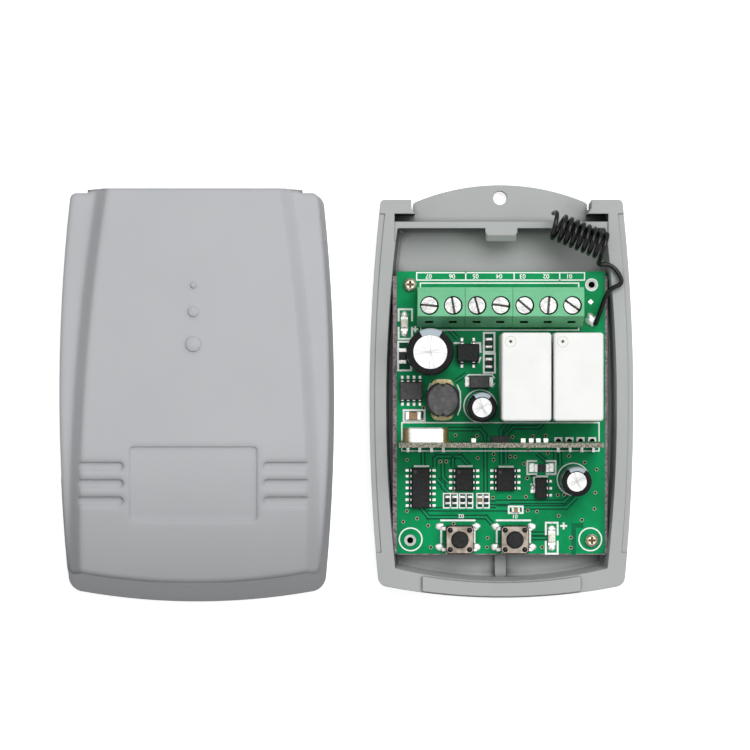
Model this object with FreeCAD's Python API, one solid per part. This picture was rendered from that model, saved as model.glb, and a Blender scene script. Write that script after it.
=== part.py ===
"""Two-channel radio receiver for a garage door: a grey tray with its circuit board, and the
cover that lies beside it. Lengths are in millimetres. The origin is the middle of the tray's
back face, +Y runs towards the hanging tab and +Z towards the person who opens the box."""

import math
import os

import FreeCAD
import Part

V = FreeCAD.Vector
UP = V(0, 0, 1)

# Widths: the row of screw terminals sets the board's, and the board sets the case's
POLE_PITCH = 5.08
POLE_COUNTS = (2, 2, 3)
TERMINAL_CENTRE_X = -0.38
SCREW_HEAD_R = 1.4
SCREW_HEAD_GAP = 0.04
HOLE_INSET = 2.9
BOARD_SIDE_GAP = 2.4
TRAY_WALL = 3.5
BOARD_WIDTH = 2 * (sum(POLE_COUNTS) * POLE_PITCH / 2 - TERMINAL_CENTRE_X
                   + SCREW_HEAD_GAP + SCREW_HEAD_R + HOLE_INSET)

# Tray: plan outline at the rim
TRAY_TOP_TAPER = 2.4
TRAY_BOTTOM_TAPER = 2.0
TRAY_HALF_MIDDLE = BOARD_WIDTH / 2 + BOARD_SIDE_GAP + TRAY_WALL
TRAY_HALF_TOP = TRAY_HALF_MIDDLE - TRAY_TOP_TAPER
TRAY_HALF_BOTTOM = TRAY_HALF_MIDDLE - TRAY_BOTTOM_TAPER
TRAY_TOP_Y = 42.7
TRAY_MIDDLE_Y = 0.0
TRAY_CORNER_Y = -40.2
TRAY_BOTTOM_Y = -42.9
TRAY_TOP_CORNER_R = 1.0
TRAY_BOTTOM_CORNER_R = 2.2
TRAY_HEIGHT = 10.0
TRAY_FLOOR = 2.0
TRAY_DRAFT = 0.5
CAVITY_DRAFT = 0.7
BACK_EDGE_BEVEL = 0.5
FLOOR_BEVEL = 0.6
SHARPEST_CORNER_R = 0.4

# Tray: rail, pockets, catch, tab, tongue and rib
RAIL_FRONT_Y = 36.6
RAIL_THICKNESS = 1.4
RAIL_TOP = 9.6
STUB_WIDTH = 3.0
STUB_LENGTH = 6.6
STUB_INNER_X = TRAY_HALF_TOP - STUB_LENGTH
STUB_BEVEL = 0.8
STUB_BEVEL_RISE = 1.2
TAB_GAP = 0.5
TAB_THICKNESS = 2.0
TAB_TOP_Y = 46.3
TAB_SHOULDER_Y = 42.4
TAB_CORNER_R = 1.0
HANGING_HOLE_R = 1.5
HANGING_HOLE_Y = 43.5
CATCH_WIDTH = 6.9
CATCH_REACH = 1.5
CATCH_FOOT_REACH = 2.8
CATCH_BOTTOM = 8.1
CATCH_LIP = 0.4
CATCH_CORNER_R = 0.7
TONGUE_LENGTH = 34.0
TONGUE_HEIGHT = 0.8
TONGUE_EDGE = 0.3
LEDGE_WIDTH = 1.15
LEDGE_DROP = 0.25
FLOOR_RIB_WIDTH = 2.4
FLOOR_RIB_LENGTH = 7.0
FLOOR_RIB_HEIGHT = 1.4

# Circuit board and the four bosses that carry it
BOARD_LENGTH = 61.0
BOARD_THICKNESS = 1.6
BOARD_CENTRE_Y = -3.1
BOARD_UNDERSIDE = 5.4
BOARD_CORNER_R = 0.4
BOARD_HOLE_R = 1.15
BOSS_R = 2.5
BOSS_PILOT_R = 0.65
BOSS_PILOT_DEPTH = 4.0
SCREW_SHANK_GAP = 0.05
SCREW_SHANK_LENGTH = 5.0
SCREW_HEAD_HEIGHT = 1.1
SCREW_HEAD_BEVEL = 0.5
SCREW_RECESS_LENGTH = 1.6
SCREW_RECESS_WIDTH = 0.45
SCREW_RECESS_DEPTH = 0.6
BOARD_TOP = BOARD_UNDERSIDE + BOARD_THICKNESS
PIN_CLEARANCE = 0.1
PIN_STICKS_OUT = 1.2

# Cover
COVER_APART = 9.0
COVER_X = -(2 * TRAY_HALF_MIDDLE + COVER_APART)
SKIRT_GAP = 0.25
SKIRT_WALL = 1.05
SKIRT_DEPTH = 3.0
COVER_WALL = 1.8
COVER_LEDGE_HEIGHT = 14.9
COVER_HEIGHT = 18.0
SIDE_DRAFT = 0.9
BOTTOM_RUN = 3.9
TOP_DRAFT = 0.15
CREST_OUT = 0.85
CREST_INSET = 6.4
CREST_HALF_WIDTH = TRAY_HALF_TOP - CREST_INSET
CREST_BLEND = 3.2
PANEL_TOP_INSET = 7.6
PANEL_MIDDLE_INSET = 5.5
PANEL_BOTTOM_INSET = 2.3
PANEL_HALF_TOP = TRAY_HALF_TOP - PANEL_TOP_INSET
PANEL_HALF_MIDDLE = TRAY_HALF_MIDDLE - PANEL_MIDDLE_INSET
PANEL_HALF_BOTTOM = TRAY_HALF_BOTTOM - PANEL_BOTTOM_INSET
PANEL_EDGE_RUN = 1.0
PANEL_MIDDLE_Y = 6.5
PANEL_BOTTOM_Y = -38.0
PANEL_BOTTOM_BULGE = 1.2
PANEL_SLOPE = 2.3
DOT_RADII = (0.55, 1.05, 1.55)
DOT_Y = (24.1, 18.5, 11.6)
DOT_HEIGHT = 0.35
LABEL_WIDTH = 27.2
LABEL_HEIGHT = 15.8
LABEL_Y = -18.1
LABEL_DEPTH = 0.35
LABEL_CORNER_R = 0.9
GROOVE_START_X = 14.8
GROOVE_INSET = 3.7
GROOVE_END_X = TRAY_HALF_MIDDLE - GROOVE_INSET
GROOVE_WIDTH = 1.9
GROOVE_PITCH = 3.68
GROOVE_COUNT = 3
GROOVE_DEPTH = 0.5
HOOK_WIDTH = 5.6
HOOK_THICKNESS = 1.1
HOOK_GAP = 0.3
HOOK_PLAY = 0.1
HOOK_TIP = 0.2
HOOK_BARB = 1.0
HOOK_ROOT = 0.5
HOOK_RIB_WIDTH = 1.0
HOOK_RIB_REACH = 1.8
HOOK_RIB_HEIGHT = 7.0

# Screw terminals
BLOCK_NAMES = ("left", "middle", "right")
TERMINAL_SCREW_Y = 19.8
TERMINAL_FOOT_Y = 15.3
TERMINAL_CREST_Y = 17.5
TERMINAL_FRONT_Y = 23.7
TERMINAL_HEIGHT = 10.0
TERMINAL_FOOT_HEIGHT = 3.0
TERMINAL_LIP_WIDTH = 0.9
TERMINAL_LIP_DROP = 0.5
BLOCK_GAP = 0.06
REAR_SLOT_LENGTH = 1.75
REAR_SLOT_WIDTH = 0.45
REAR_SLOT_Y = 16.35
HEAD_R = 1.85
HEAD_HEIGHT = 1.05
HEAD_SINK = 0.4
HEAD_CLEARANCE = 0.15
HEAD_SLOT_WIDTH = 0.5
HEAD_SLOT_DEPTH = 0.5
HEAD_SLOT_DEG = (-5, -80, -75, -8, -40, 85, -35)
WEB_THICKNESS = 0.5
WEB_GAP = 0.05
THREAD_R = 1.25
THREAD_CLEARANCE = 0.05
WEB_CLEARANCE = 0.1
CAGE_WIDTH = 4.1
CAGE_LENGTH = 4.0
CAGE_BOTTOM = 0.4
CAGE_HEIGHT = 5.3
CAGE_WALL = 0.6
CAGE_THREAD_PLATE = 1.0
CAGE_CLEARANCE = 0.1
CONTACT_WIDTH = 2.2
CONTACT_THICKNESS = 0.8
CONTACT_LEG_Y = 16.6
CONTACT_GAP = 0.1
TERMINAL_PIN = 0.9
ENTRY_WIDTH = 3.4
ENTRY_HEIGHT = 3.3
ENTRY_SILL = 0.9

# Relays
RELAY_WIDTH = 10.5
RELAY_LENGTH = 18.7
RELAY_HEIGHT = 15.5
RELAY_X = (4.8, 15.8)
RELAY_Y = 4.6
RELAY_EDGE_R = 0.7
RELAY_RIM_BEVEL = 0.3
VENT_R = 0.35
VENT_DEPTH = 0.3
VENT_INSET = 1.9
RELAY_PIN = 0.7
RELAY_PINS = ((-3.8, -7.4), (3.8, -7.4), (0.0, 6.2), (-3.8, 7.6), (3.8, 7.6))

# Electrolytic capacitors: x, y, radius and height
LARGE_CAPACITOR = (-15.45, 9.9, 5.0, 12.5)
SMALL_CAPACITORS = ((-4.4, -1.9, 3.15, 11.0), (15.75, -17.7, 3.15, 11.0))
SLEEVE_THICKNESS = 0.15
SLEEVE_BEVEL = 0.3
SLEEVE_RIM = 0.28
SCORE_WIDTH = 0.35
SCORE_DEPTH = 0.18
LARGE_SCORE_DEG = 12
SMALL_SCORE_DEG = 20
CAPACITOR_LEAD = 0.5
LEAD_SPACING_SHARE = 0.5

# Inductor
INDUCTOR_X = -12.65
INDUCTOR_Y = -0.35
INDUCTOR_R = 3.8
INDUCTOR_FLAT = 3.5
INDUCTOR_HEIGHT = 5.0
INDUCTOR_NOTCH_R = 0.8
INDUCTOR_WAIST = 0.35
INDUCTOR_FLANGE = 1.1
INDUCTOR_PAD_THICKNESS = 0.3
INDUCTOR_PAD_WIDTH = 2.4

# Surface-mounted packages: x, y, length along the row of leads, body width, height,
# pitch, and whether the rows of leads run along X
LEAD_WIDTH = 0.42
LEAD_THICKNESS = 0.2
LEAD_REACH = 1.05
LEAD_FOOT = 0.55
BODY_STANDOFF = 0.15
BODY_BEVEL = 0.2
PACKAGES = {
    "supply_chip": (-19.4, 1.6, 4.9, 3.9, 1.5, 1.27, True),
    "microcontroller": (-17.35, -19.4, 8.65, 3.9, 1.5, 1.27, False),
    "memory_chip": (-7.95, -17.55, 4.9, 3.9, 1.5, 1.27, False),
    "decoder_chip": (0.95, -17.55, 4.9, 3.9, 1.5, 1.27, False),
    "bridge_rectifier": (-7.15, 9.8, 4.7, 3.8, 2.3, 2.54, True),
}
DIODE_AT = (-4.7, 3.5)
DIODE_SIZE = (4.3, 2.6, 2.1)
DIODE_TAB = (0.8, 1.5, 0.25)
REGULATOR_AT = (8.62, -19.45)
REGULATOR_SIZE = (2.5, 4.5, 1.5)
REGULATOR_PITCH = 1.5
REGULATOR_REACH = 0.9

# Chip resistors and ceramic capacitors: x, y, length along X, length along Y
RESISTORS = (
    (-2.6, 11.9, 1.25, 2.0), (-2.6, 7.6, 1.25, 2.0), (-21.3, 9.1, 1.5, 3.1),
    (-11.5, -22.0, 0.8, 1.6), (-10.0, -22.0, 0.8, 1.6), (-8.3, -22.0, 0.8, 1.6),
    (-6.65, -22.0, 0.8, 1.6), (-3.15, -22.0, 0.8, 1.6), (8.8, -15.1, 3.2, 1.6),
)
CERAMICS = ((-18.95, -3.85, 3.2, 1.6), (-4.6, -22.0, 0.8, 1.6), (3.2, -24.2, 1.6, 0.8))
RESISTOR_HEIGHT = 0.5
CERAMIC_HEIGHT = 0.9
END_CAP = 0.35
END_CAP_STEP = 0.06
POWER_LED_INSET = 1.65
LEDS = {"power_led": (POWER_LED_INSET - BOARD_WIDTH / 2, 16.0), "learn_led": (10.95, -30.2)}
LED_WIDTH = 1.6
LED_LENGTH = 3.2
LED_BASE = 0.5
LED_DOME = 0.6

# Radio module that stands on the board
MODULE_X = -0.5
MODULE_Y = -9.83
MODULE_LENGTH = 43.2
MODULE_THICKNESS = 1.0
MODULE_BOTTOM = 0.4
MODULE_TOP = 22.8
MODULE_PIN_X = (-20.1, -17.56, -15.02, -12.48, 12.3, 14.84, 17.38, 19.92)
MODULE_PIN_RISE = 1.5
MODULE_PIN_REACH = 1.0
MODULE_PIN = 0.6
CRYSTAL_X = -16.35
CRYSTAL_UP = 8.6
CRYSTAL_LENGTH = 9.7
CRYSTAL_HEIGHT = 4.2
CRYSTAL_DEPTH = 3.1
CRYSTAL_BEVEL = 0.4
CRYSTAL_FLANGE = 0.35
CRYSTAL_FLANGE_DEPTH = 0.4
RF_CHIP_X = -0.55
RF_CHIP_UP = 9.0
RF_CHIP_SIZE = (3.9, 1.3, 4.9)
MODULE_SMD_X = (-6.3, 4.2, 5.9, 7.4, 9.0)
MODULE_SMD_UP = 12.6
MODULE_SMD_WIDTH = 1.0
MODULE_SMD_LENGTH = 1.6

# Push switches
SWITCH_X = {"left": -8.95, "right": 2.9}
SWITCH_Y = -30.45
SWITCH_SIZE = 6.0
SWITCH_BODY_HEIGHT = 3.1
SWITCH_COVER_THICKNESS = 0.3
SWITCH_COVER_SIZE = 5.7
SWITCH_CORNER = 0.5
SWITCH_WELL_R = 2.3
SWITCH_WELL_FLOOR = 1.0
BUTTON_R = 1.75
BUTTON_CLEARANCE = 0.1
BUTTON_FLANGE_R = 2.15
BUTTON_FLANGE_BOTTOM = 1.75
BUTTON_FLANGE_TOP = 2.9
BUTTON_TOP = 4.4
BUTTON_BEVEL = 0.2
RIVET_R = 0.45
RIVET_SIDE_COUNT = 8
RIVET_HEIGHT = 0.2
RIVET_OFFSET = 2.1
DOME_R = 2.0
DOME_CROWN_R = 0.9
DOME_HEIGHT = 0.35
DOME_THICKNESS = 0.12
DOME_SIDE_COUNT = 8
SWITCH_PIN_OUT = 0.8
SWITCH_PIN_WIDTH = 0.7
SWITCH_PIN_ROW = 2.25
SWITCH_PIN_THICKNESS = 0.3

# Antenna wire: lead and coil
WIRE_R = 0.475
SOLDER_INSET = 3.1
SOLDER_AT = (BOARD_WIDTH / 2 - SOLDER_INSET, 16.9)
SOLDER_R = 1.25
SOLDER_SHOULDER_R = 1.0
SOLDER_SHOULDER_HEIGHT = 0.72
SOLDER_CROWN_R = 0.44
SOLDER_HEIGHT = 1.2
COIL_RIGHT = (22.0, 32.45)
COIL_DIRECTION_DEG = 157.0
COIL_MEAN_R = 2.78
COIL_PITCH = 1.37
COIL_LOOSE_EXTRA = 1.0
COIL_TURN_COUNT = 8.5
COIL_START_DEG = 20.0
COIL_SEAT_GAP = 0.3
COIL_TIP = 1.2
KNOT_COUNT = 2
WIRE_SIDE_COUNT = 8
LEAD_POINTS = (
    (20.3, 15.9, 7.75), (21.2, 18.3, 8.9), (22.0, 21.2, 10.5), (23.3, 23.6, 11.2),
    (26.2, 24.6, 11.3), (24.9, 27.3, 11.2), (23.0, 28.9, 11.2),
)
LEAD_RADIUS_SHARE = 0.45
LEAD_RUN_IN = 2.9
COIL_TAIL = 0.95
GAP_SAMPLE_COUNT = 36

# How far a cutting tool runs past the face that it opens, and the slack when a height is matched
OVERSHOOT = 1.0
MATCH = 1e-4


def box(x0, x1, y0, y1, z0, z1):
    """A block between two corners."""
    return Part.makeBox(x1 - x0, y1 - y0, z1 - z0, V(x0, y0, z0))


def rod(radius, x, y, z0, z1):
    """An upright cylinder."""
    return Part.makeCylinder(radius, z1 - z0, V(x, y, z0))


def post(side, x, y, z0, z1):
    """An upright square bar."""
    return box(x - side / 2, x + side / 2, y - side / 2, y + side / 2, z0, z1)


def ring_points(radius, sides, centre, across, up):
    """The corners of a regular polygon round a centre, in the plane of two directions."""
    turns = [2 * math.pi * i / sides for i in range(sides)]
    return [centre + across * (radius * math.cos(t)) + up * (radius * math.sin(t)) for t in turns]


def prism(points, direction):
    """A flat polygon pushed along a direction."""
    return Part.Face(Part.makePolygon([*points, points[0]])).extrude(direction)


def flat_sided(lower, upper):
    """A solid with flat faces between two rings of as many corners."""
    rings = [lower, upper]
    rings += [[lower[i - 1], lower[i], upper[i], upper[i - 1]] for i in range(len(lower))]
    shell = Part.makeShell([Part.Face(Part.makePolygon([*ring, ring[0]])) for ring in rings])
    shell.sewShape()
    solid = Part.makeSolid(shell)
    return solid if solid.Volume > 0 else solid.reversed()


def arc(start, middle, end):
    """An edge along the circle through three points."""
    return Part.Arc(start, middle, end).toShape()


def line(start, end):
    """A straight edge."""
    return Part.LineSegment(start, end).toShape()


def joined(solids):
    """Solids that touch, fused into one."""
    first, *rest = solids
    return first.fuse(rest).removeSplitter() if rest else first


def upright_edges(solid):
    """The edges of a solid that rise through its whole height."""
    height = solid.BoundBox.ZLength
    return [e for e in solid.Edges if e.BoundBox.ZLength > height - MATCH]


def rim_edges(solid, z):
    """The edges of a solid that lie at height z."""
    return [e for e in solid.Edges if abs(e.BoundBox.ZMin - z) < MATCH]


def save(name, shape):
    """Write one node as its own STEP file."""
    shape.exportStep("parts/" + name + ".step")


# Tray outline, grown or shrunk. The cover's outline is the same one, grown by its skirt.

def outline(z, side=0.0, top=None, bottom=None):
    """The tray's plan outline at height z, with its sides, top and bottom moved outwards."""
    top = side if top is None else top
    bottom = side if bottom is None else bottom
    corners = {}
    for sign in (-1, 1):
        corners[sign, "top"] = V(sign * (TRAY_HALF_TOP + side), TRAY_TOP_Y + top, z)
        corners[sign, "middle"] = V(sign * (TRAY_HALF_MIDDLE + side), TRAY_MIDDLE_Y, z)
        corners[sign, "bottom"] = V(sign * (TRAY_HALF_BOTTOM + side), TRAY_CORNER_Y - bottom, z)
    lowest = V(0, TRAY_BOTTOM_Y - bottom, z)
    sharp = Part.Face(Part.Wire([
        line(corners[-1, "top"], corners[1, "top"]),
        arc(corners[1, "top"], corners[1, "middle"], corners[1, "bottom"]),
        arc(corners[1, "bottom"], lowest, corners[-1, "bottom"]),
        arc(corners[-1, "bottom"], corners[-1, "middle"], corners[-1, "top"]),
    ])).extrude(UP)
    far, near = [], []
    for edge in upright_edges(sharp):
        (far if edge.BoundBox.Center.y > TRAY_MIDDLE_Y else near).append(edge)
    rounded = sharp.makeFillet(corner_radius(TRAY_TOP_CORNER_R, side), far)
    near = [e for e in upright_edges(rounded) if min(e.CenterOfMass.distanceToPoint(n.CenterOfMass)
                                                    for n in near) < MATCH]
    rounded = rounded.makeFillet(corner_radius(TRAY_BOTTOM_CORNER_R, side), near)
    foot = [f for f in rounded.Faces if abs(f.CenterOfMass.z - z) < MATCH]
    return foot[0].OuterWire


def plan_prism(side, low, high):
    """The tray's outline, moved outwards by side, as a block between two heights."""
    return Part.Face(outline(low, side)).extrude(UP * (high - low))


def corner_radius(radius, side):
    """A corner's radius once the outline has moved outwards by side, never sharper than a scribe."""
    return max(radius + side, SHARPEST_CORNER_R)


def loft(*wires):
    """A solid with straight sides between plan outlines."""
    return Part.makeLoft(list(wires), True, True)


def half_width_inside(y):
    """Half the free width inside the tray's walls at height y of the plan, at the rim."""
    along = (y - TRAY_MIDDLE_Y) / (TRAY_TOP_Y - TRAY_MIDDLE_Y)
    fall = (TRAY_HALF_MIDDLE - TRAY_HALF_TOP) * along * along
    return TRAY_HALF_MIDDLE - fall - TRAY_WALL


def tray_tab():
    """The hanging tab: a plate with an arched top, level with the back."""
    half = STUB_INNER_X - TAB_GAP
    root = V(-half, RAIL_FRONT_Y, 0)
    shoulder = V(-half, TAB_SHOULDER_Y, 0)
    mirrored = [V(-p.x, p.y, 0) for p in (shoulder, root)]
    plate = Part.Face(Part.Wire([
        line(root, shoulder),
        arc(shoulder, V(0, TAB_TOP_Y, 0), mirrored[0]),
        line(mirrored[0], mirrored[1]),
        line(mirrored[1], root),
    ])).extrude(UP * TAB_THICKNESS)
    corners = [e for e in upright_edges(plate) if e.BoundBox.Center.y > TAB_SHOULDER_Y - MATCH]
    return plate.makeFillet(TAB_CORNER_R, corners)


def catch():
    """The hooked catch in the middle of the rail, with a sloping front for the cover's hook."""
    front = RAIL_FRONT_Y - CATCH_REACH
    foot = RAIL_FRONT_Y - CATCH_FOOT_REACH
    back = RAIL_FRONT_Y + RAIL_THICKNESS / 2
    section = [
        V(-CATCH_WIDTH / 2, back, RAIL_TOP), V(-CATCH_WIDTH / 2, front, RAIL_TOP),
        V(-CATCH_WIDTH / 2, foot, CATCH_BOTTOM + CATCH_LIP), V(-CATCH_WIDTH / 2, foot, CATCH_BOTTOM),
        V(-CATCH_WIDTH / 2, back, CATCH_BOTTOM),
    ]
    block = prism(section, V(CATCH_WIDTH, 0, 0))
    fronts = [e for e in block.Edges if e.BoundBox.XLength < MATCH and e.BoundBox.YMax < front + MATCH]
    return block.makeFillet(CATCH_CORNER_R, fronts)


def boss_places():
    """Where the board's four holes and the bosses under them are."""
    dx = BOARD_WIDTH / 2 - HOLE_INSET
    dy = BOARD_LENGTH / 2 - HOLE_INSET
    return [(sx * dx, BOARD_CENTRE_Y + sy * dy) for sy in (1, -1) for sx in (-1, 1)]


def make_tray():
    """The lower shell: floor, walls, rail, catch, hanging tab, bosses and tongue."""
    above = TRAY_HEIGHT + OVERSHOOT
    tray = loft(outline(0, -TRAY_DRAFT - BACK_EDGE_BEVEL), outline(BACK_EDGE_BEVEL, -TRAY_DRAFT),
                outline(TRAY_HEIGHT))
    rail_back = RAIL_FRONT_Y + RAIL_THICKNESS
    inner_top = RAIL_FRONT_Y - TRAY_TOP_Y
    inner = -TRAY_WALL
    foot = inner - CAVITY_DRAFT
    cavity = loft(outline(TRAY_FLOOR, foot - FLOOR_BEVEL, inner_top - FLOOR_BEVEL, foot - FLOOR_BEVEL),
                  outline(TRAY_FLOOR + FLOOR_BEVEL, foot, inner_top, foot),
                  outline(above, inner, inner_top, inner))
    stub_back = TRAY_TOP_Y - STUB_WIDTH
    stub_shoulder = stub_back + STUB_BEVEL_RISE
    outside = TRAY_TOP_Y + OVERSHOOT
    notch_half = STUB_INNER_X - STUB_BEVEL
    half = [
        (notch_half, rail_back), (notch_half, stub_back),
        (STUB_INNER_X, stub_shoulder), (STUB_INNER_X, outside),
    ]
    plan = [V(x, y, TAB_THICKNESS) for x, y in half]
    plan += [V(-x, y, TAB_THICKNESS) for x, y in reversed(half)]
    tray = tray.cut([cavity, prism(plan, UP * above)])
    pocket_half = half_width_inside(rail_back)
    pockets = [
        box(sx * notch_half if sx > 0 else -pocket_half, pocket_half if sx > 0 else -notch_half,
            rail_back, stub_back, TRAY_FLOOR, above)
        for sx in (-1, 1)
    ]
    slots = [
        box(min(sx * STUB_INNER_X, sx * (STUB_INNER_X - TAB_GAP)),
            max(sx * STUB_INNER_X, sx * (STUB_INNER_X - TAB_GAP)),
            stub_shoulder, outside, -OVERSHOOT, above)
        for sx in (-1, 1)
    ]
    rail_relief = box(-pocket_half, pocket_half, RAIL_FRONT_Y - CATCH_FOOT_REACH, rail_back, RAIL_TOP, above)
    tray = tray.cut([*pockets, *slots, rail_relief])
    ledge_low = TRAY_HEIGHT - LEDGE_DROP
    ledge = Part.Face(outline(ledge_low, OVERSHOOT)).extrude(UP * OVERSHOOT)
    ledge = ledge.cut(plan_prism(-LEDGE_WIDTH, ledge_low - OVERSHOOT, above + OVERSHOOT))
    reach = TRAY_HALF_MIDDLE + TRAY_WALL
    ledge = ledge.common(box(-reach, reach, TRAY_CORNER_Y + 2 * TRAY_WALL,
                             TRAY_TOP_Y - STUB_WIDTH, 0, above))
    tray = tray.cut(ledge)
    band = plan_prism(-TONGUE_EDGE, TRAY_HEIGHT, TRAY_HEIGHT + TONGUE_HEIGHT)
    band = band.cut(plan_prism(inner + TONGUE_EDGE, TRAY_HEIGHT - OVERSHOOT, above + OVERSHOOT))
    tongue = band.common(box(-TONGUE_LENGTH / 2, TONGUE_LENGTH / 2, TRAY_BOTTOM_Y - OVERSHOOT,
                             TRAY_BOTTOM_Y + 2 * TRAY_WALL, TRAY_HEIGHT, above))
    rib_end = TRAY_BOTTOM_Y + TRAY_WALL + FLOOR_RIB_WIDTH / 2
    rib = joined([
        box(-FLOOR_RIB_WIDTH / 2, FLOOR_RIB_WIDTH / 2, rib_end, rib_end + FLOOR_RIB_LENGTH,
            TRAY_FLOOR / 2, TRAY_FLOOR + FLOOR_RIB_HEIGHT),
        rod(FLOOR_RIB_WIDTH / 2, 0, rib_end, TRAY_FLOOR / 2, TRAY_FLOOR + FLOOR_RIB_HEIGHT),
    ])
    bosses = [rod(BOSS_R, x, y, TRAY_FLOOR / 2, BOARD_UNDERSIDE) for x, y in boss_places()]
    tray = tray.fuse([tray_tab(), catch(), tongue, rib, *bosses]).removeSplitter()
    pilots = [
        rod(BOSS_PILOT_R, x, y, BOARD_UNDERSIDE - BOSS_PILOT_DEPTH, BOARD_UNDERSIDE + OVERSHOOT)
        for x, y in boss_places()
    ]
    hole = rod(HANGING_HOLE_R, 0, HANGING_HOLE_Y, -OVERSHOOT, TAB_THICKNESS + OVERSHOOT)
    return tray.cut([*pilots, hole])


def crest(z, out, wall):
    """The shallow bulge of the cover's top end, as a plan wire at height z."""
    edge = TRAY_TOP_Y + SKIRT_GAP + SKIRT_WALL - wall
    wide = CREST_HALF_WIDTH + CREST_BLEND - wall / 2
    narrow = CREST_HALF_WIDTH - wall / 2
    points = [V(-wide, edge, z), V(-narrow, edge + out, z), V(narrow, edge + out, z), V(wide, edge, z)]
    inner = [V(wide, edge - COVER_WALL, z), V(-wide, edge - COVER_WALL, z)]
    return Part.makePolygon([*points, *inner, points[0]])


def panel(z, spread, lift=0.0):
    """The raised panel's plan outline at height z, spread outwards all round."""
    top_y = TRAY_TOP_Y + SKIRT_GAP + SKIRT_WALL + CREST_OUT - lift
    bottom_y = PANEL_BOTTOM_Y - spread
    right = [V(PANEL_HALF_TOP + spread, top_y, z), V(PANEL_HALF_MIDDLE + spread, PANEL_MIDDLE_Y, z),
             V(PANEL_HALF_BOTTOM + spread, bottom_y, z)]
    left = [V(-p.x, p.y, z) for p in right]
    return Part.Wire([
        line(left[0], right[0]), arc(*right),
        arc(right[2], V(0, bottom_y - PANEL_BOTTOM_BULGE, z), left[2]),
        arc(left[2], left[1], left[0]),
    ])


def cover_body(wall):
    """The cover's outer form, or its hollow when wall is more than nothing."""
    grow = SKIRT_GAP + SKIRT_WALL - wall
    ledge = COVER_LEDGE_HEIGHT - wall
    base = SKIRT_DEPTH
    lower = loft(outline(base, grow),
                 outline(ledge, grow - SIDE_DRAFT, grow - TOP_DRAFT, grow - BOTTOM_RUN))
    bulge = loft(crest(base, CREST_OUT, wall), crest(ledge, CREST_OUT, wall))
    shift = COVER_HEIGHT - COVER_LEDGE_HEIGHT
    raised = loft(panel(ledge - shift, 2 * PANEL_SLOPE - wall, wall + TOP_DRAFT),
                  panel(COVER_HEIGHT - wall, -wall / 2, wall + TOP_DRAFT))
    keep = loft(outline(base, grow, grow + CREST_OUT, grow),
                outline(COVER_HEIGHT, grow - SIDE_DRAFT, grow + CREST_OUT,
                        grow - BOTTOM_RUN - PANEL_EDGE_RUN))
    return lower.fuse([bulge, raised.common(keep)]).removeSplitter()


def label_recess():
    """The shallow framed field in the panel, where a plate could sit."""
    x, y = LABEL_WIDTH / 2, LABEL_HEIGHT / 2
    field = box(-x, x, LABEL_Y - y, LABEL_Y + y, COVER_HEIGHT - LABEL_DEPTH, COVER_HEIGHT + OVERSHOOT)
    return field.makeFillet(LABEL_CORNER_R, upright_edges(field))


def groove(y, side):
    """One of the short grooves beside the field, with rounded ends."""
    r = GROOVE_WIDTH / 2
    low, high = COVER_HEIGHT - GROOVE_DEPTH, COVER_HEIGHT + OVERSHOOT
    ends = (side * (GROOVE_START_X + r), side * (GROOVE_END_X - r))
    return joined([box(min(ends), max(ends), y - r, y + r, low, high),
                   *[rod(r, x, y, low, high) for x in ends]])


def hook():
    """The springy arm under the cover's roof whose barb snaps beneath the rail's catch."""
    north = RAIL_FRONT_Y - CATCH_FOOT_REACH - HOOK_GAP
    south = north - HOOK_THICKNESS
    roof = COVER_HEIGHT - COVER_WALL + HOOK_ROOT
    closed_rim = TRAY_HEIGHT - SKIRT_DEPTH
    barb_top = CATCH_BOTTOM - closed_rim - HOOK_PLAY
    x = -HOOK_WIDTH / 2
    section = [
        V(x, south, roof), V(x, south, HOOK_TIP), V(x, north, HOOK_TIP),
        V(x, north + HOOK_BARB, barb_top - HOOK_TIP), V(x, north + HOOK_BARB, barb_top),
        V(x, north, barb_top), V(x, north, roof),
    ]
    arm = prism(section, V(HOOK_WIDTH, 0, 0))
    ribs = [
        prism([V(rx, south, roof), V(rx, south - HOOK_RIB_REACH, roof), V(rx, south, roof - HOOK_RIB_HEIGHT)],
              V(HOOK_RIB_WIDTH, 0, 0))
        for rx in (x, -x - HOOK_RIB_WIDTH)
    ]
    return joined([arm, *ribs])


def make_cover():
    """The upper shell, laid on its open side beside the tray."""
    outer = cover_body(0.0)
    skirt = SKIRT_GAP + SKIRT_WALL
    foot = loft(outline(0, skirt), outline(SKIRT_DEPTH, skirt))
    foot_crest = loft(crest(0, CREST_OUT, 0), crest(SKIRT_DEPTH, CREST_OUT, 0))
    cover = outer.fuse([foot, foot_crest]).removeSplitter()
    hollow = cover_body(COVER_WALL)
    mouth = plan_prism(SKIRT_GAP, -OVERSHOOT, SKIRT_DEPTH)
    cover = cover.cut([hollow, mouth])
    room_half = TONGUE_LENGTH / 2 + SKIRT_GAP
    room_top = SKIRT_DEPTH + TONGUE_HEIGHT + SKIRT_GAP
    tongue_room = plan_prism(SKIRT_GAP - TONGUE_EDGE, SKIRT_DEPTH - OVERSHOOT, room_top)
    tongue_room = tongue_room.common(box(-room_half, room_half, TRAY_BOTTOM_Y - OVERSHOOT,
                                         TRAY_BOTTOM_Y + 2 * TRAY_WALL, 0, room_top))
    grooves = [
        groove(LABEL_Y + (i - (GROOVE_COUNT - 1) / 2) * GROOVE_PITCH, side)
        for i in range(GROOVE_COUNT) for side in (-1, 1)
    ]
    cover = cover.cut([tongue_room, label_recess(), *grooves])
    dots = [
        Part.makeCone(r + DOT_HEIGHT / 2, r, DOT_HEIGHT * 2, V(0, y, COVER_HEIGHT - DOT_HEIGHT))
        for r, y in zip(DOT_RADII, DOT_Y)
    ]
    cover = cover.fuse([*dots, hook()]).removeSplitter()
    cover.translate(V(COVER_X, 0, 0))
    return cover


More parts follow.
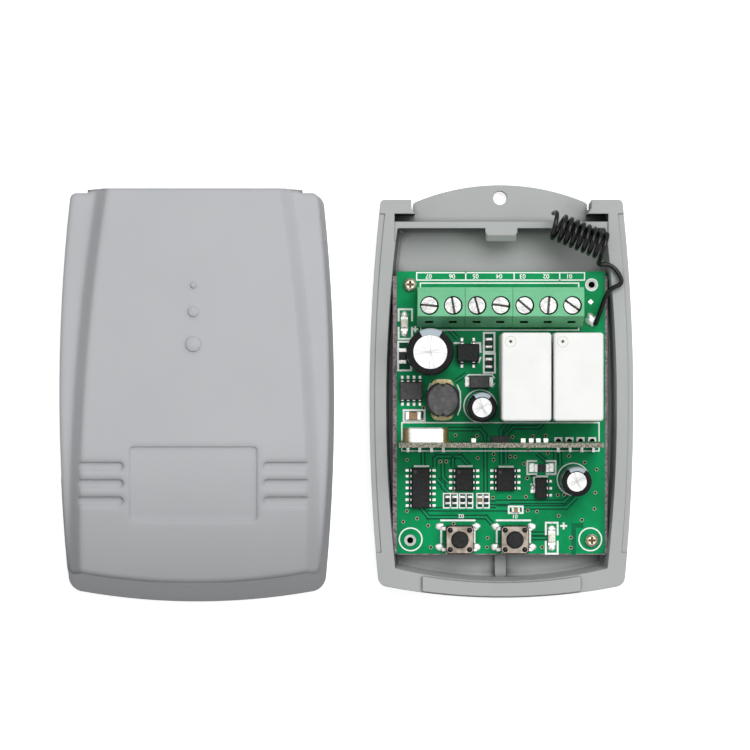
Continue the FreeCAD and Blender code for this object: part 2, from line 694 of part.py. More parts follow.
# Circuit board

def pin_places():
    """Every pin that goes through the board: x, y and width."""
    places = [(x, CONTACT_LEG_Y + CONTACT_THICKNESS / 2, TERMINAL_PIN) for x in pole_places()]
    places += [(x, MODULE_Y - MODULE_THICKNESS / 2 - MODULE_PIN_REACH, MODULE_PIN)
               for x in MODULE_PIN_X]
    return places + component_pin_places()


def component_pin_places():
    """The pins of the relays and the leads of the capacitors: x, y and width."""
    places = [(rx + dx, RELAY_Y + dy, RELAY_PIN) for rx in RELAY_X for dx, dy in RELAY_PINS]
    for x, y, radius, _ in (LARGE_CAPACITOR, *SMALL_CAPACITORS):
        places += [(x, y + side * radius * LEAD_SPACING_SHARE, CAPACITOR_LEAD) for side in (-1, 1)]
    return places


def make_board():
    """The circuit board, with its mounting holes and a hole for every pin."""
    x, y = BOARD_WIDTH / 2, BOARD_LENGTH / 2
    board = box(-x, x, BOARD_CENTRE_Y - y, BOARD_CENTRE_Y + y, BOARD_UNDERSIDE, BOARD_TOP)
    board = board.makeFillet(BOARD_CORNER_R, upright_edges(board))
    low, high = BOARD_UNDERSIDE - OVERSHOOT, BOARD_TOP + OVERSHOOT
    holes = [rod(BOARD_HOLE_R, hx, hy, low, high) for hx, hy in boss_places()]
    holes += [post(width + 2 * PIN_CLEARANCE, px, py, low, high) for px, py, width in pin_places()]
    return board.cut(holes)


def through_pin(x, y, width, top):
    """A square pin from height top down through the board."""
    return post(width, x, y, BOARD_UNDERSIDE - PIN_STICKS_OUT, top)


def cross(x, y, length, width, low, high):
    """A plus-shaped cutting tool."""
    return joined([box(x - length / 2, x + length / 2, y - width / 2, y + width / 2, low, high),
                   box(x - width / 2, x + width / 2, y - length / 2, y + length / 2, low, high)])


def make_board_screws():
    """The two self-tapping screws that hold the board, with crossed recesses."""
    screws = []
    for x, y in (boss_places()[0], boss_places()[3]):
        foot, top = BOARD_TOP - SCREW_SHANK_LENGTH, BOARD_TOP + SCREW_HEAD_HEIGHT
        shank_r = BOSS_PILOT_R - SCREW_SHANK_GAP
        screw = turned([
            (0, foot), (shank_r, foot), (shank_r, BOARD_TOP), (SCREW_HEAD_R, BOARD_TOP),
            (SCREW_HEAD_R, top - SCREW_HEAD_BEVEL), (SCREW_HEAD_R - SCREW_HEAD_BEVEL, top), (0, top),
        ], x, y)
        screws.append(screw.cut(cross(x, y, SCREW_RECESS_LENGTH, SCREW_RECESS_WIDTH,
                                      top - SCREW_RECESS_DEPTH, top + OVERSHOOT)))
    return Part.makeCompound(screws)


# Screw terminals

def pole_places():
    """The x of each terminal's screw, left to right."""
    count = sum(POLE_COUNTS)
    return [TERMINAL_CENTRE_X + (i - (count - 1) / 2) * POLE_PITCH for i in range(count)]


def terminal_levels():
    """Heights inside a terminal: web underside, web top, head top and contact underside."""
    head_top = BOARD_TOP + TERMINAL_HEIGHT - HEAD_SINK
    web_top = head_top - HEAD_HEIGHT - WEB_GAP
    web_underside = web_top - WEB_THICKNESS
    plate_underside = BOARD_TOP + CAGE_BOTTOM + CAGE_HEIGHT - CAGE_THREAD_PLATE
    contact_top = plate_underside - CONTACT_GAP
    return web_underside, web_top, head_top, contact_top


def cage_span():
    """Where a clamp cage starts and ends along the wire's way in."""
    return TERMINAL_SCREW_Y - CAGE_LENGTH / 2, TERMINAL_SCREW_Y + CAGE_LENGTH / 2


def make_terminal_block(poles):
    """One moulded block: sloping back, stepped front, screw bores, clamp wells, wire entries."""
    web_underside, web_top, _, contact_top = terminal_levels()
    top = BOARD_TOP + TERMINAL_HEIGHT
    left = poles[0] - POLE_PITCH / 2 + BLOCK_GAP / 2
    width = len(poles) * POLE_PITCH - BLOCK_GAP
    section = [
        V(left, TERMINAL_FOOT_Y, BOARD_TOP), V(left, TERMINAL_FOOT_Y, BOARD_TOP + TERMINAL_FOOT_HEIGHT),
        V(left, TERMINAL_CREST_Y, top), V(left, TERMINAL_FRONT_Y - TERMINAL_LIP_WIDTH, top),
        V(left, TERMINAL_FRONT_Y - TERMINAL_LIP_WIDTH, top - TERMINAL_LIP_DROP),
        V(left, TERMINAL_FRONT_Y, top - TERMINAL_LIP_DROP), V(left, TERMINAL_FRONT_Y, BOARD_TOP),
    ]
    block = prism(section, V(width, 0, 0))
    start, end = cage_span()
    half = CAGE_WIDTH / 2 + CAGE_CLEARANCE
    leg_half = CONTACT_WIDTH / 2 + CONTACT_GAP
    cuts = []
    for x in poles:
        cuts.append(rod(HEAD_R + HEAD_CLEARANCE, x, TERMINAL_SCREW_Y, web_top, top + OVERSHOOT))
        cuts.append(rod(THREAD_R + WEB_CLEARANCE, x, TERMINAL_SCREW_Y, web_underside - OVERSHOOT,
                        web_top + OVERSHOOT))
        cuts.append(box(x - half, x + half, start - CAGE_CLEARANCE, end + CAGE_CLEARANCE,
                        BOARD_TOP + CAGE_BOTTOM - CAGE_CLEARANCE, web_underside))
        cuts.append(box(x - leg_half, x + leg_half, CONTACT_LEG_Y - CONTACT_GAP, start,
                        BOARD_TOP - OVERSHOOT, contact_top + CONTACT_GAP))
        cuts.append(box(x - ENTRY_WIDTH / 2, x + ENTRY_WIDTH / 2, end, TERMINAL_FRONT_Y + OVERSHOOT,
                        BOARD_TOP + ENTRY_SILL, BOARD_TOP + ENTRY_SILL + ENTRY_HEIGHT))
        slot = REAR_SLOT_LENGTH / 2
        cuts.append(box(x - slot, x + slot, REAR_SLOT_Y - REAR_SLOT_WIDTH / 2,
                        REAR_SLOT_Y + REAR_SLOT_WIDTH / 2, contact_top + 2 * CONTACT_GAP, top))
    return block.cut(cuts)


def make_terminal_screw(x, angle):
    """A slotted clamp screw, its slot turned by angle."""
    _, web_top, head_top, contact_top = terminal_levels()
    y = TERMINAL_SCREW_Y
    head = rod(HEAD_R, x, y, web_top + WEB_GAP, head_top)
    shank = rod(THREAD_R, x, y, contact_top + THREAD_CLEARANCE, head_top - HEAD_HEIGHT / 2)
    reach = HEAD_R + OVERSHOOT
    slot = box(x - reach, x + reach, y - HEAD_SLOT_WIDTH / 2, y + HEAD_SLOT_WIDTH / 2,
               head_top - HEAD_SLOT_DEPTH, head_top + OVERSHOOT)
    slot.rotate(V(x, y, 0), UP, angle)
    return head.fuse(shank).removeSplitter().cut(slot)


def make_terminal_clamp(x):
    """The brass cage that the screw lifts: a square tube with a threaded roof."""
    start, end = cage_span()
    half = CAGE_WIDTH / 2
    low = BOARD_TOP + CAGE_BOTTOM
    cage = box(x - half, x + half, start, end, low, low + CAGE_HEIGHT)
    window = box(x - half + CAGE_WALL, x + half - CAGE_WALL, start - OVERSHOOT, end + OVERSHOOT,
                 low + CAGE_WALL, low + CAGE_HEIGHT - CAGE_THREAD_PLATE)
    hole = rod(THREAD_R + THREAD_CLEARANCE, x, TERMINAL_SCREW_Y, low + CAGE_HEIGHT / 2,
               low + CAGE_HEIGHT + OVERSHOOT)
    return cage.cut([window, hole])


def make_terminal_contacts():
    """The seven fixed contact bars with their legs and pins, under which the wires are clamped."""
    _, _, _, contact_top = terminal_levels()
    _, end = cage_span()
    bars = []
    for x in pole_places():
        half = CONTACT_WIDTH / 2
        bar = box(x - half, x + half, CONTACT_LEG_Y, end, contact_top - CONTACT_THICKNESS, contact_top)
        leg = box(x - half, x + half, CONTACT_LEG_Y, CONTACT_LEG_Y + CONTACT_THICKNESS,
                  BOARD_TOP, contact_top)
        pin = through_pin(x, CONTACT_LEG_Y + CONTACT_THICKNESS / 2, TERMINAL_PIN, BOARD_TOP + OVERSHOOT)
        bars.append(joined([bar, leg, pin]))
    return Part.makeCompound(bars)


# Relays, capacitors and their pins

def make_relay(x):
    """A sealed relay: a rounded box with a small vent dimple."""
    w, length = RELAY_WIDTH / 2, RELAY_LENGTH / 2
    top = BOARD_TOP + RELAY_HEIGHT
    case = box(x - w, x + w, RELAY_Y - length, RELAY_Y + length, BOARD_TOP, top)
    case = case.makeFillet(RELAY_EDGE_R, upright_edges(case))
    case = case.makeChamfer(RELAY_RIM_BEVEL, rim_edges(case, top))
    return case.cut(rod(VENT_R, x - w + VENT_INSET, RELAY_Y + length - VENT_INSET,
                        top - VENT_DEPTH, top + OVERSHOOT))


def turned(profile, x, y):
    """A solid of revolution about an upright axis at x, y, from (radius, height) points."""
    points = [V(x + r, y, z) for r, z in profile]
    face = Part.Face(Part.makePolygon([*points, points[0]]))
    return face.revolve(V(x, y, 0), UP, 360)


def make_capacitor_can(x, y, radius, height, turn):
    """The aluminium can, with a crossed score in its lid."""
    top = BOARD_TOP + height - SLEEVE_THICKNESS
    can = rod(radius - SLEEVE_THICKNESS, x, y, BOARD_TOP, top)
    score = cross(x, y, 2 * radius * (1 - SLEEVE_RIM), SCORE_WIDTH, top - SCORE_DEPTH, top + OVERSHOOT)
    score.rotate(V(x, y, 0), UP, turn)
    return can.cut(score)


def make_capacitor_sleeve(x, y, radius, height):
    """The shrunk sleeve round a can, turned in over its upper edge."""
    inner = radius - SLEEVE_THICKNESS
    top = BOARD_TOP + height
    rim = radius * (1 - SLEEVE_RIM)
    lid = top - SLEEVE_THICKNESS
    return turned([
        (inner, BOARD_TOP), (radius, BOARD_TOP), (radius, top - SLEEVE_BEVEL),
        (radius - SLEEVE_BEVEL, top), (rim, top), (rim, lid), (inner, lid),
    ], x, y)


def make_component_pins():
    """The pins of the relays and the leads of the capacitors, through the board."""
    return Part.makeCompound([through_pin(x, y, width, BOARD_TOP)
                              for x, y, width in component_pin_places()])


def make_inductor_core():
    """The ferrite drum: flats left and right, a notch at each end, a slim waist."""
    x, y, r = INDUCTOR_X, INDUCTOR_Y, INDUCTOR_R
    low = BOARD_TOP + INDUCTOR_PAD_THICKNESS
    top = low + INDUCTOR_HEIGHT
    waist = r - INDUCTOR_WAIST
    drum = turned([
        (0, low), (r, low), (r, low + INDUCTOR_FLANGE), (waist, low + INDUCTOR_FLANGE),
        (waist, top - INDUCTOR_FLANGE), (r, top - INDUCTOR_FLANGE), (r, top), (0, top),
    ], x, y)
    below, above, outside = low - OVERSHOOT, top + OVERSHOOT, r + OVERSHOOT
    cuts = [rod(INDUCTOR_NOTCH_R, x, y + side * r, below, above) for side in (-1, 1)]
    cuts += [box(x + INDUCTOR_FLAT, x + outside, y - r, y + r, below, above),
             box(x - outside, x - INDUCTOR_FLAT, y - r, y + r, below, above)]
    return drum.cut(cuts)


def make_inductor_pads():
    """The two tinned strips that the drum stands on."""
    w = INDUCTOR_PAD_WIDTH / 2
    return Part.makeCompound([
        box(INDUCTOR_X - w, INDUCTOR_X + w, INDUCTOR_Y + side * INDUCTOR_R - w,
            INDUCTOR_Y + side * INDUCTOR_R + w, BOARD_TOP, BOARD_TOP + INDUCTOR_PAD_THICKNESS)
        for side in (-1, 1)
    ])


# Surface-mounted parts

def moulded(x0, x1, y0, y1, z0, z1):
    """A moulded package with a bevelled lid."""
    body = box(x0, x1, y0, y1, z0, z1)
    return body.makeChamfer(BODY_BEVEL, rim_edges(body, z1))


def package_box(name):
    """A package's corners, leads left out."""
    x, y, length, width, height, _, along_x = PACKAGES[name]
    dx, dy = (length / 2, width / 2) if along_x else (width / 2, length / 2)
    low = BOARD_TOP + BODY_STANDOFF
    return x - dx, x + dx, y - dy, y + dy, low, BOARD_TOP + height


def gull_lead(height):
    """A bent lead that leaves the origin along +X and steps down to the board."""
    up = BOARD_TOP + height
    t = LEAD_THICKNESS
    bend = LEAD_REACH - LEAD_FOOT
    section = [
        V(0, 0, up), V(bend - t, 0, up), V(bend, 0, BOARD_TOP + t), V(LEAD_REACH, 0, BOARD_TOP + t),
        V(LEAD_REACH, 0, BOARD_TOP), V(bend - t, 0, BOARD_TOP), V(bend - 2 * t, 0, up - t),
        V(0, 0, up - t),
    ]
    lead = prism(section, V(0, LEAD_WIDTH, 0))
    lead.translate(V(0, -LEAD_WIDTH / 2, 0))
    return lead


def placed(shape, x, y, degrees):
    """A copy turned about the upright axis and moved to x, y."""
    copy = shape.copy()
    copy.rotate(V(0, 0, 0), UP, degrees)
    copy.translate(V(x, y, 0))
    return copy


def make_package_leads():
    """The gull-wing leads of every package, and the diode's and regulator's tabs."""
    leads = []
    for x, y, length, width, height, pitch, along_x in PACKAGES.values():
        lead = gull_lead(height / 2)
        count = round(length / pitch)
        for i in range(count):
            offset = (i - (count - 1) / 2) * pitch
            for side in (-1, 1):
                if along_x:
                    leads.append(placed(lead, x + offset, y + side * width / 2, 90 * side))
                else:
                    leads.append(placed(lead, x + side * width / 2, y + offset, 90 - 90 * side))
    x, y = DIODE_AT
    reach, width, thick = DIODE_TAB
    for side in (-1, 1):
        edge = x + side * DIODE_SIZE[0] / 2
        outer = edge + side * reach
        leads.append(box(min(edge, outer), max(edge, outer), y - width / 2, y + width / 2,
                         BOARD_TOP, BOARD_TOP + thick))
    x, y = REGULATOR_AT
    half = REGULATOR_SIZE[0] / 2
    low, high = BOARD_TOP, BOARD_TOP + LEAD_THICKNESS * 2
    for i in (-1, 0, 1):
        ry = y + i * REGULATOR_PITCH
        leads.append(box(x + half, x + half + REGULATOR_REACH, ry - LEAD_WIDTH / 2,
                         ry + LEAD_WIDTH / 2, low, high))
    leads.append(box(x - half - REGULATOR_REACH, x - half, y - REGULATOR_PITCH / 2,
                     y + REGULATOR_PITCH / 2, low, high))
    return Part.makeCompound(leads)


def make_diode():
    """The rectangular surface-mounted diode."""
    x, y = DIODE_AT
    length, width, height = DIODE_SIZE
    return moulded(x - length / 2, x + length / 2, y - width / 2, y + width / 2,
                   BOARD_TOP + BODY_STANDOFF, BOARD_TOP + height)


def make_regulator():
    """The small voltage regulator."""
    x, y = REGULATOR_AT
    width, length, height = REGULATOR_SIZE
    return moulded(x - width / 2, x + width / 2, y - length / 2, y + length / 2,
                   BOARD_TOP, BOARD_TOP + height)


def make_chips(places, height):
    """A group of chip parts, each with slightly thicker metal ends."""
    chips = []
    for x, y, w, length in places:
        body = box(x - w / 2, x + w / 2, y - length / 2, y + length / 2, BOARD_TOP, BOARD_TOP + height)
        low, high = BOARD_TOP + height - END_CAP_STEP, BOARD_TOP + height + OVERSHOOT
        if length > w:
            middle = box(x - w, x + w, y - length / 2 + END_CAP, y + length / 2 - END_CAP, low, high)
        else:
            middle = box(x - w / 2 + END_CAP, x + w / 2 - END_CAP, y - length, y + length, low, high)
        chips.append(body.cut(middle))
    return Part.makeCompound(chips)


def make_module_chips():
    """The small parts on the radio module's north face, as chip parts stood on edge."""
    face = MODULE_Y + MODULE_THICKNESS / 2
    up = BOARD_TOP + MODULE_SMD_UP
    width, length = MODULE_SMD_WIDTH / 2, MODULE_SMD_LENGTH / 2
    return [box(x - width, x + width, face, face + CERAMIC_HEIGHT, up - length, up + length)
            for x in MODULE_SMD_X]


def make_led(name):
    """A surface-mounted lamp: a flat base with a domed lens."""
    x, y = LEDS[name]
    w, half = LED_WIDTH / 2, LED_LENGTH / 2
    base = box(x - w, x + w, y - half, y + half, BOARD_TOP, BOARD_TOP + LED_BASE)
    dome = moulded(x - w, x + w, y - half / 2, y + half / 2, BOARD_TOP + LED_BASE,
                   BOARD_TOP + LED_BASE + LED_DOME)
    return joined([base, dome])


# Radio module

def make_module_board():
    """The module's own board, standing on its long edge."""
    x, y = MODULE_LENGTH / 2, MODULE_THICKNESS / 2
    return box(MODULE_X - x, MODULE_X + x, MODULE_Y - y, MODULE_Y + y, BOARD_TOP + MODULE_BOTTOM, MODULE_TOP)


def stadium(x, z, length, height, y0, y1):
    """A slab with round ends, lying along X, with its flat faces towards Y."""
    r = height / 2
    half = length / 2 - r
    slab = [box(x - half, x + half, y0, y1, z - r, z + r)]
    slab += [Part.makeCylinder(r, y1 - y0, V(x + side * half, y0, z), V(0, 1, 0)) for side in (-1, 1)]
    return joined(slab)


def make_crystal():
    """The crystal's metal can on the module's north face, with its base flange."""
    face = MODULE_Y + MODULE_THICKNESS / 2
    up = BOARD_TOP + CRYSTAL_UP
    flange = stadium(CRYSTAL_X, up, CRYSTAL_LENGTH + 2 * CRYSTAL_FLANGE, CRYSTAL_HEIGHT + 2 * CRYSTAL_FLANGE,
                     face, face + CRYSTAL_FLANGE_DEPTH)
    can = stadium(CRYSTAL_X, up, CRYSTAL_LENGTH, CRYSTAL_HEIGHT, face, face + CRYSTAL_DEPTH)
    lid = [e for e in can.Edges if abs(e.BoundBox.YMin - face - CRYSTAL_DEPTH) < MATCH]
    return joined([flange, can.makeChamfer(CRYSTAL_BEVEL, lid)])


def make_rf_chip():
    """The module's radio chip, flat against its north face."""
    face = MODULE_Y + MODULE_THICKNESS / 2
    width, depth, height = RF_CHIP_SIZE
    up = BOARD_TOP + RF_CHIP_UP
    return box(RF_CHIP_X - width / 2, RF_CHIP_X + width / 2, face, face + depth,
               up - height / 2, up + height / 2)


def make_module_pins():
    """The module's bent pins: out of its south face, then down through the board."""
    face = MODULE_Y - MODULE_THICKNESS / 2
    up = BOARD_TOP + MODULE_PIN_RISE
    pins = []
    for x in MODULE_PIN_X:
        foot = face - MODULE_PIN_REACH
        level = box(x - MODULE_PIN / 2, x + MODULE_PIN / 2, foot - MODULE_PIN / 2, face,
                    up - MODULE_PIN, up)
        pins.append(joined([level, through_pin(x, foot, MODULE_PIN, up)]))
    return Part.makeCompound(pins)


# Push switches

def make_switch_housing(x):
    """The switch's base, with a round well for the button and its snap dome."""
    half = SWITCH_SIZE / 2
    top = BOARD_TOP + SWITCH_BODY_HEIGHT
    body = box(x - half, x + half, SWITCH_Y - half, SWITCH_Y + half, BOARD_TOP, top)
    body = body.makeChamfer(SWITCH_CORNER, upright_edges(body))
    return body.cut(rod(SWITCH_WELL_R, x, SWITCH_Y, BOARD_TOP + SWITCH_WELL_FLOOR, top + OVERSHOOT))


def make_switch_cover(x):
    """The steel top plate with its opening and four rivet heads."""
    half = SWITCH_COVER_SIZE / 2
    low = BOARD_TOP + SWITCH_BODY_HEIGHT
    high = low + SWITCH_COVER_THICKNESS
    plate = box(x - half, x + half, SWITCH_Y - half, SWITCH_Y + half, low, high)
    plate = plate.makeChamfer(SWITCH_CORNER, upright_edges(plate))
    plate = plate.cut(rod(BUTTON_R + BUTTON_CLEARANCE, x, SWITCH_Y, low - OVERSHOOT, high + OVERSHOOT))
    rivets = [
        prism(ring_points(RIVET_R, RIVET_SIDE_COUNT, V(x + sx * RIVET_OFFSET, SWITCH_Y + sy * RIVET_OFFSET, low),
                          V(1, 0, 0), V(0, 1, 0)), UP * (high + RIVET_HEIGHT - low))
        for sx in (-1, 1) for sy in (-1, 1)
    ]
    return joined([plate, *rivets])


def make_switch_button(x):
    """The button: a round head on a flange that the top plate keeps in."""
    z = BOARD_TOP
    return turned([
        (0, z + BUTTON_FLANGE_BOTTOM), (BUTTON_FLANGE_R, z + BUTTON_FLANGE_BOTTOM),
        (BUTTON_FLANGE_R, z + BUTTON_FLANGE_TOP), (BUTTON_R, z + BUTTON_FLANGE_TOP),
        (BUTTON_R, z + BUTTON_TOP - BUTTON_BEVEL), (BUTTON_R - BUTTON_BEVEL, z + BUTTON_TOP),
        (0, z + BUTTON_TOP),
    ], x, SWITCH_Y)


def make_switch_domes():
    """The two snap domes under the buttons: thin, faceted and flat in the middle."""
    domes = []
    low = BOARD_TOP + SWITCH_WELL_FLOOR
    for x in SWITCH_X.values():
        shells = []
        for inset, rise in ((0, DOME_HEIGHT), (DOME_THICKNESS, DOME_HEIGHT - DOME_THICKNESS)):
            rings = [ring_points(radius, DOME_SIDE_COUNT, V(x, SWITCH_Y, z), V(1, 0, 0), V(0, 1, 0))
                     for radius, z in ((DOME_R - inset, low), (DOME_CROWN_R, low + rise))]
            shells.append(flat_sided(*rings))
        domes.append(shells[0].cut(shells[1]))
    return Part.makeCompound(domes)


def make_switch_pins():
    """The four flat feet of each switch, soldered to the board."""
    feet = []
    half = SWITCH_SIZE / 2
    for x in SWITCH_X.values():
        for side in (-1, 1):
            for sy in (-1, 1):
                y = SWITCH_Y + sy * SWITCH_PIN_ROW
                edge = x + side * half
                outer = edge + side * SWITCH_PIN_OUT
                feet.append(box(min(edge, outer), max(edge, outer), y - SWITCH_PIN_WIDTH / 2,
                                y + SWITCH_PIN_WIDTH / 2, BOARD_TOP, BOARD_TOP + SWITCH_PIN_THICKNESS))
    return Part.makeCompound(feet)


# Antenna wire

def coil_frame():
    """The coil's axis point at the right, its axis direction and its sideways direction."""
    turn = math.radians(COIL_DIRECTION_DEG)
    along = V(math.cos(turn), math.sin(turn), 0)
    across = V(math.sin(turn), -math.cos(turn), 0)
    axis_z = RAIL_TOP + COIL_SEAT_GAP + COIL_MEAN_R + WIRE_R
    return V(COIL_RIGHT[0], COIL_RIGHT[1], axis_z), along, across


def coil_point(angle):
    """A point of the coil's centre line and its direction there, angle in radians from the start.

    The coil climbs evenly along its axis; its last turn opens out a little more.
    """
    origin, along, across = coil_frame()
    phase = math.radians(COIL_START_DEG) + angle
    turns = angle / (2 * math.pi)
    open_turn = max(0.0, turns - COIL_TURN_COUNT + 1)
    climb = COIL_PITCH * turns + COIL_LOOSE_EXTRA * open_turn ** 2
    rate = (COIL_PITCH + 2 * COIL_LOOSE_EXTRA * open_turn) / (2 * math.pi)
    sideways, upwards = math.cos(phase) * COIL_MEAN_R, math.sin(phase) * COIL_MEAN_R
    point = origin + along * climb - across * sideways + UP * upwards
    direction = along * rate + across * upwards + UP * sideways
    return point, direction.normalize()


def tangent_arc(start, direction, end):
    """The arc that leaves start along direction and reaches end."""
    chord = end - start
    half_turn = direction.getAngle(chord)
    bulge = direction * chord.Length - chord * (direction.dot(chord) / chord.Length)
    sag = chord.Length / 2 * math.tan(half_turn / 2)
    return arc(start, (start + end) * 0.5 + bulge.normalize() * sag, end)


def biarc(start, direction_0, end, direction_1):
    """Two arcs that join two points and keep both directions."""
    chord = end - start
    both = direction_0 + direction_1
    lean = chord.dot(both)
    denominator = 2 * (1 - direction_0.dot(direction_1))
    reach = (-lean + math.sqrt(lean ** 2 + denominator * chord.dot(chord))) / denominator
    middle = (start + end + (direction_0 - direction_1) * reach) * 0.5
    back = tangent_arc(end, direction_1 * -1, middle)
    points = [back.valueAt(t) for t in (back.LastParameter, (back.FirstParameter + back.LastParameter) / 2)]
    return [tangent_arc(start, direction_0, middle), arc(points[0], points[1], end)]


def tube(name, edges):
    """The wire along edges that join smoothly, as a faceted tube.

    Prints its length, and its volume beside its section times its length.
    """
    path = Part.Wire(edges)
    first = path.Edges[0]
    start = first.valueAt(first.FirstParameter)
    direction = first.tangentAt(first.FirstParameter)
    across = UP.cross(direction).normalize()
    ring = ring_points(WIRE_R, WIRE_SIDE_COUNT, start, across, direction.cross(across))
    profile = Part.makePolygon([*ring, ring[0]])
    solid = path.makePipeShell([profile], True, False)
    length = sum(e.Length for e in edges)
    print(name, "length", round(length, 2), "volume", round(solid.Volume, 3),
          "section x length", round(Part.Face(profile).Area * length, 3))
    return solid


def least_coil_gap():
    """The least gap between the coil's turns, measured on points of its centre line."""
    count = int(COIL_TURN_COUNT * GAP_SAMPLE_COUNT)
    points = [coil_point(2 * math.pi * i / GAP_SAMPLE_COUNT)[0] for i in range(count + 1)]
    apart = GAP_SAMPLE_COUNT // 2
    nearest = min(points[i].distanceToPoint(points[j])
                  for i in range(count) for j in range(i + apart, count + 1))
    return nearest - 2 * WIRE_R


def make_antenna_coil():
    """The coiled stretch of the antenna: one unbroken tube with straight ends."""
    steps = int(COIL_TURN_COUNT * KNOT_COUNT)
    knots = [coil_point(2 * math.pi * i / KNOT_COUNT) for i in range(steps + 1)]
    (first, out), (last, onward) = knots[0], knots[-1]
    edges = [line(first - out * COIL_TAIL, first)]
    for (p0, t0), (p1, t1) in zip(knots, knots[1:]):
        edges += biarc(p0, t0, p1, t1)
    edges.append(line(last, last + onward * COIL_TIP))
    coil = tube("antenna_coil", edges)
    print("antenna_coil least gap between turns", round(least_coil_gap(), 3))
    return coil


def make_antenna_lead():
    """The free stretch from the solder joint to the coil: straight runs and tangent arcs."""
    first, out = coil_point(0)
    route = [V(*p) for p in LEAD_POINTS] + [first - out * LEAD_RUN_IN, first - out * COIL_TAIL]
    radii = []
    edges = []
    at = route[0]
    for before, corner, after in zip(route, route[1:], route[2:]):
        arriving = (corner - before).normalize()
        leaving = (after - corner).normalize()
        half_turn = arriving.getAngle(leaving) / 2
        cut = LEAD_RADIUS_SHARE * min((corner - before).Length, (after - corner).Length)
        radii.append(round(cut / math.tan(half_turn), 2))
        edges.append(line(at, corner - arriving * cut))
        at = corner + leaving * cut
        edges.append(tangent_arc(corner - arriving * cut, arriving, at))
    edges.append(line(at, route[-1]))
    lead = tube("antenna_lead", edges)
    print("antenna_lead bend radii", radii)
    return lead


def make_solder_joint(lead):
    """The domed solder joint that holds the antenna's end."""
    z = BOARD_TOP
    mound = turned([(0, z), (SOLDER_R, z), (SOLDER_SHOULDER_R, z + SOLDER_SHOULDER_HEIGHT),
                    (SOLDER_CROWN_R, z + SOLDER_HEIGHT), (0, z + SOLDER_HEIGHT)], *SOLDER_AT)
    return mound.cut(lead)


def main():
    """Write every node of the receiver."""
    os.makedirs("parts", exist_ok=True)
    save("base_tray", make_tray())
    save("cover", make_cover())
    save("circuit_board", make_board())
    save("board_screws", make_board_screws())
    poles = pole_places()
    first = 0
    for name, count in zip(BLOCK_NAMES, POLE_COUNTS):
        save("terminal_block_" + name, make_terminal_block(poles[first:first + count]))
        first += count
    for number, (x, angle) in enumerate(zip(poles, HEAD_SLOT_DEG), 1):
        save("terminal_screw_" + str(number), make_terminal_screw(x, angle))
        save("terminal_clamp_" + str(number), make_terminal_clamp(x))
    save("terminal_contacts", make_terminal_contacts())
    for name, x in zip(("left", "right"), RELAY_X):
        save("relay_" + name, make_relay(x))
    save("component_pins", make_component_pins())
    save("large_capacitor_can", make_capacitor_can(*LARGE_CAPACITOR, LARGE_SCORE_DEG))
    save("large_capacitor_sleeve", make_capacitor_sleeve(*LARGE_CAPACITOR))
    save("small_capacitor_cans", Part.makeCompound(
        [make_capacitor_can(*size, SMALL_SCORE_DEG) for size in SMALL_CAPACITORS]))
    save("small_capacitor_sleeves", Part.makeCompound(
        [make_capacitor_sleeve(*size) for size in SMALL_CAPACITORS]))
    save("inductor_core", make_inductor_core())
    save("inductor_pads", make_inductor_pads())
    for name in PACKAGES:
        save(name, moulded(*package_box(name)))
    save("rectifier_diode", make_diode())
    save("voltage_regulator", make_regulator())
    save("package_leads", make_package_leads())
    save("chip_resistors", make_chips(RESISTORS, RESISTOR_HEIGHT))
    save("ceramic_capacitors", Part.makeCompound(
        [make_chips(CERAMICS, CERAMIC_HEIGHT), *make_module_chips()]))
    for name in LEDS:
        save(name, make_led(name))
    save("radio_module_board", make_module_board())
    save("radio_crystal", make_crystal())
    save("radio_chip", make_rf_chip())
    save("radio_module_pins", make_module_pins())
    for name, x in SWITCH_X.items():
        save(name + "_switch_housing", make_switch_housing(x))
        save(name + "_switch_cover", make_switch_cover(x))
        save(name + "_switch_button", make_switch_button(x))
    save("switch_domes", make_switch_domes())
    save("switch_pins", make_switch_pins())
    lead = make_antenna_lead()
    save("antenna_solder", make_solder_joint(lead))
    save("antenna_lead", lead)
    save("antenna_coil", make_antenna_coil())


if __name__ == "__main__":
    main()
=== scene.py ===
"""Dressed scene of an opened two-channel garage door receiver.

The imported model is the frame. Its nodes get procedural finishes, and board print, solder, chip
parts, lamps and the antenna wire are added as surfaces worked out with numpy. Sizes in the
classes are millimetres, and MM turns them to Blender's metres.
"""

import logging
import math
from dataclasses import dataclass, replace
from enum import Enum
from typing import Sequence

import bpy
import numpy as np
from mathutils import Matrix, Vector

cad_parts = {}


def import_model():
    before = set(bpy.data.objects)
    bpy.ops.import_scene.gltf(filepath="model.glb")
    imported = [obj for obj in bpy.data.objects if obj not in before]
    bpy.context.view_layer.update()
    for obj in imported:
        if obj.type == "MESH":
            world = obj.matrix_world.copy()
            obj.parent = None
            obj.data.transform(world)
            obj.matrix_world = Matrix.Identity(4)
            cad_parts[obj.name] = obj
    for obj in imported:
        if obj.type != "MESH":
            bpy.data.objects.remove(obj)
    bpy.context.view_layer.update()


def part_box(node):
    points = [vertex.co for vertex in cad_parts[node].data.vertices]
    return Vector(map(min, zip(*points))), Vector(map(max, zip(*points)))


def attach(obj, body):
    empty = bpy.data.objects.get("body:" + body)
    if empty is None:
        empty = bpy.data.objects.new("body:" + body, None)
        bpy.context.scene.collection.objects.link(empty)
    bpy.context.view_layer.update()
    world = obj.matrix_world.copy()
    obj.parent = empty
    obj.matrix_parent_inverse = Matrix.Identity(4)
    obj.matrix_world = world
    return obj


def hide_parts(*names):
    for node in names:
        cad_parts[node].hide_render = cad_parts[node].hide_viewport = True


LOG = logging.getLogger("receiver")
MM = 0.001
BOARD_TOP = 7.0
RUN_STEP = 0.001  # between the tops of runs that cross
RUN_STEPS = 4
SINK = 0.01  # of a piece into what it lies on, so that no two faces coincide
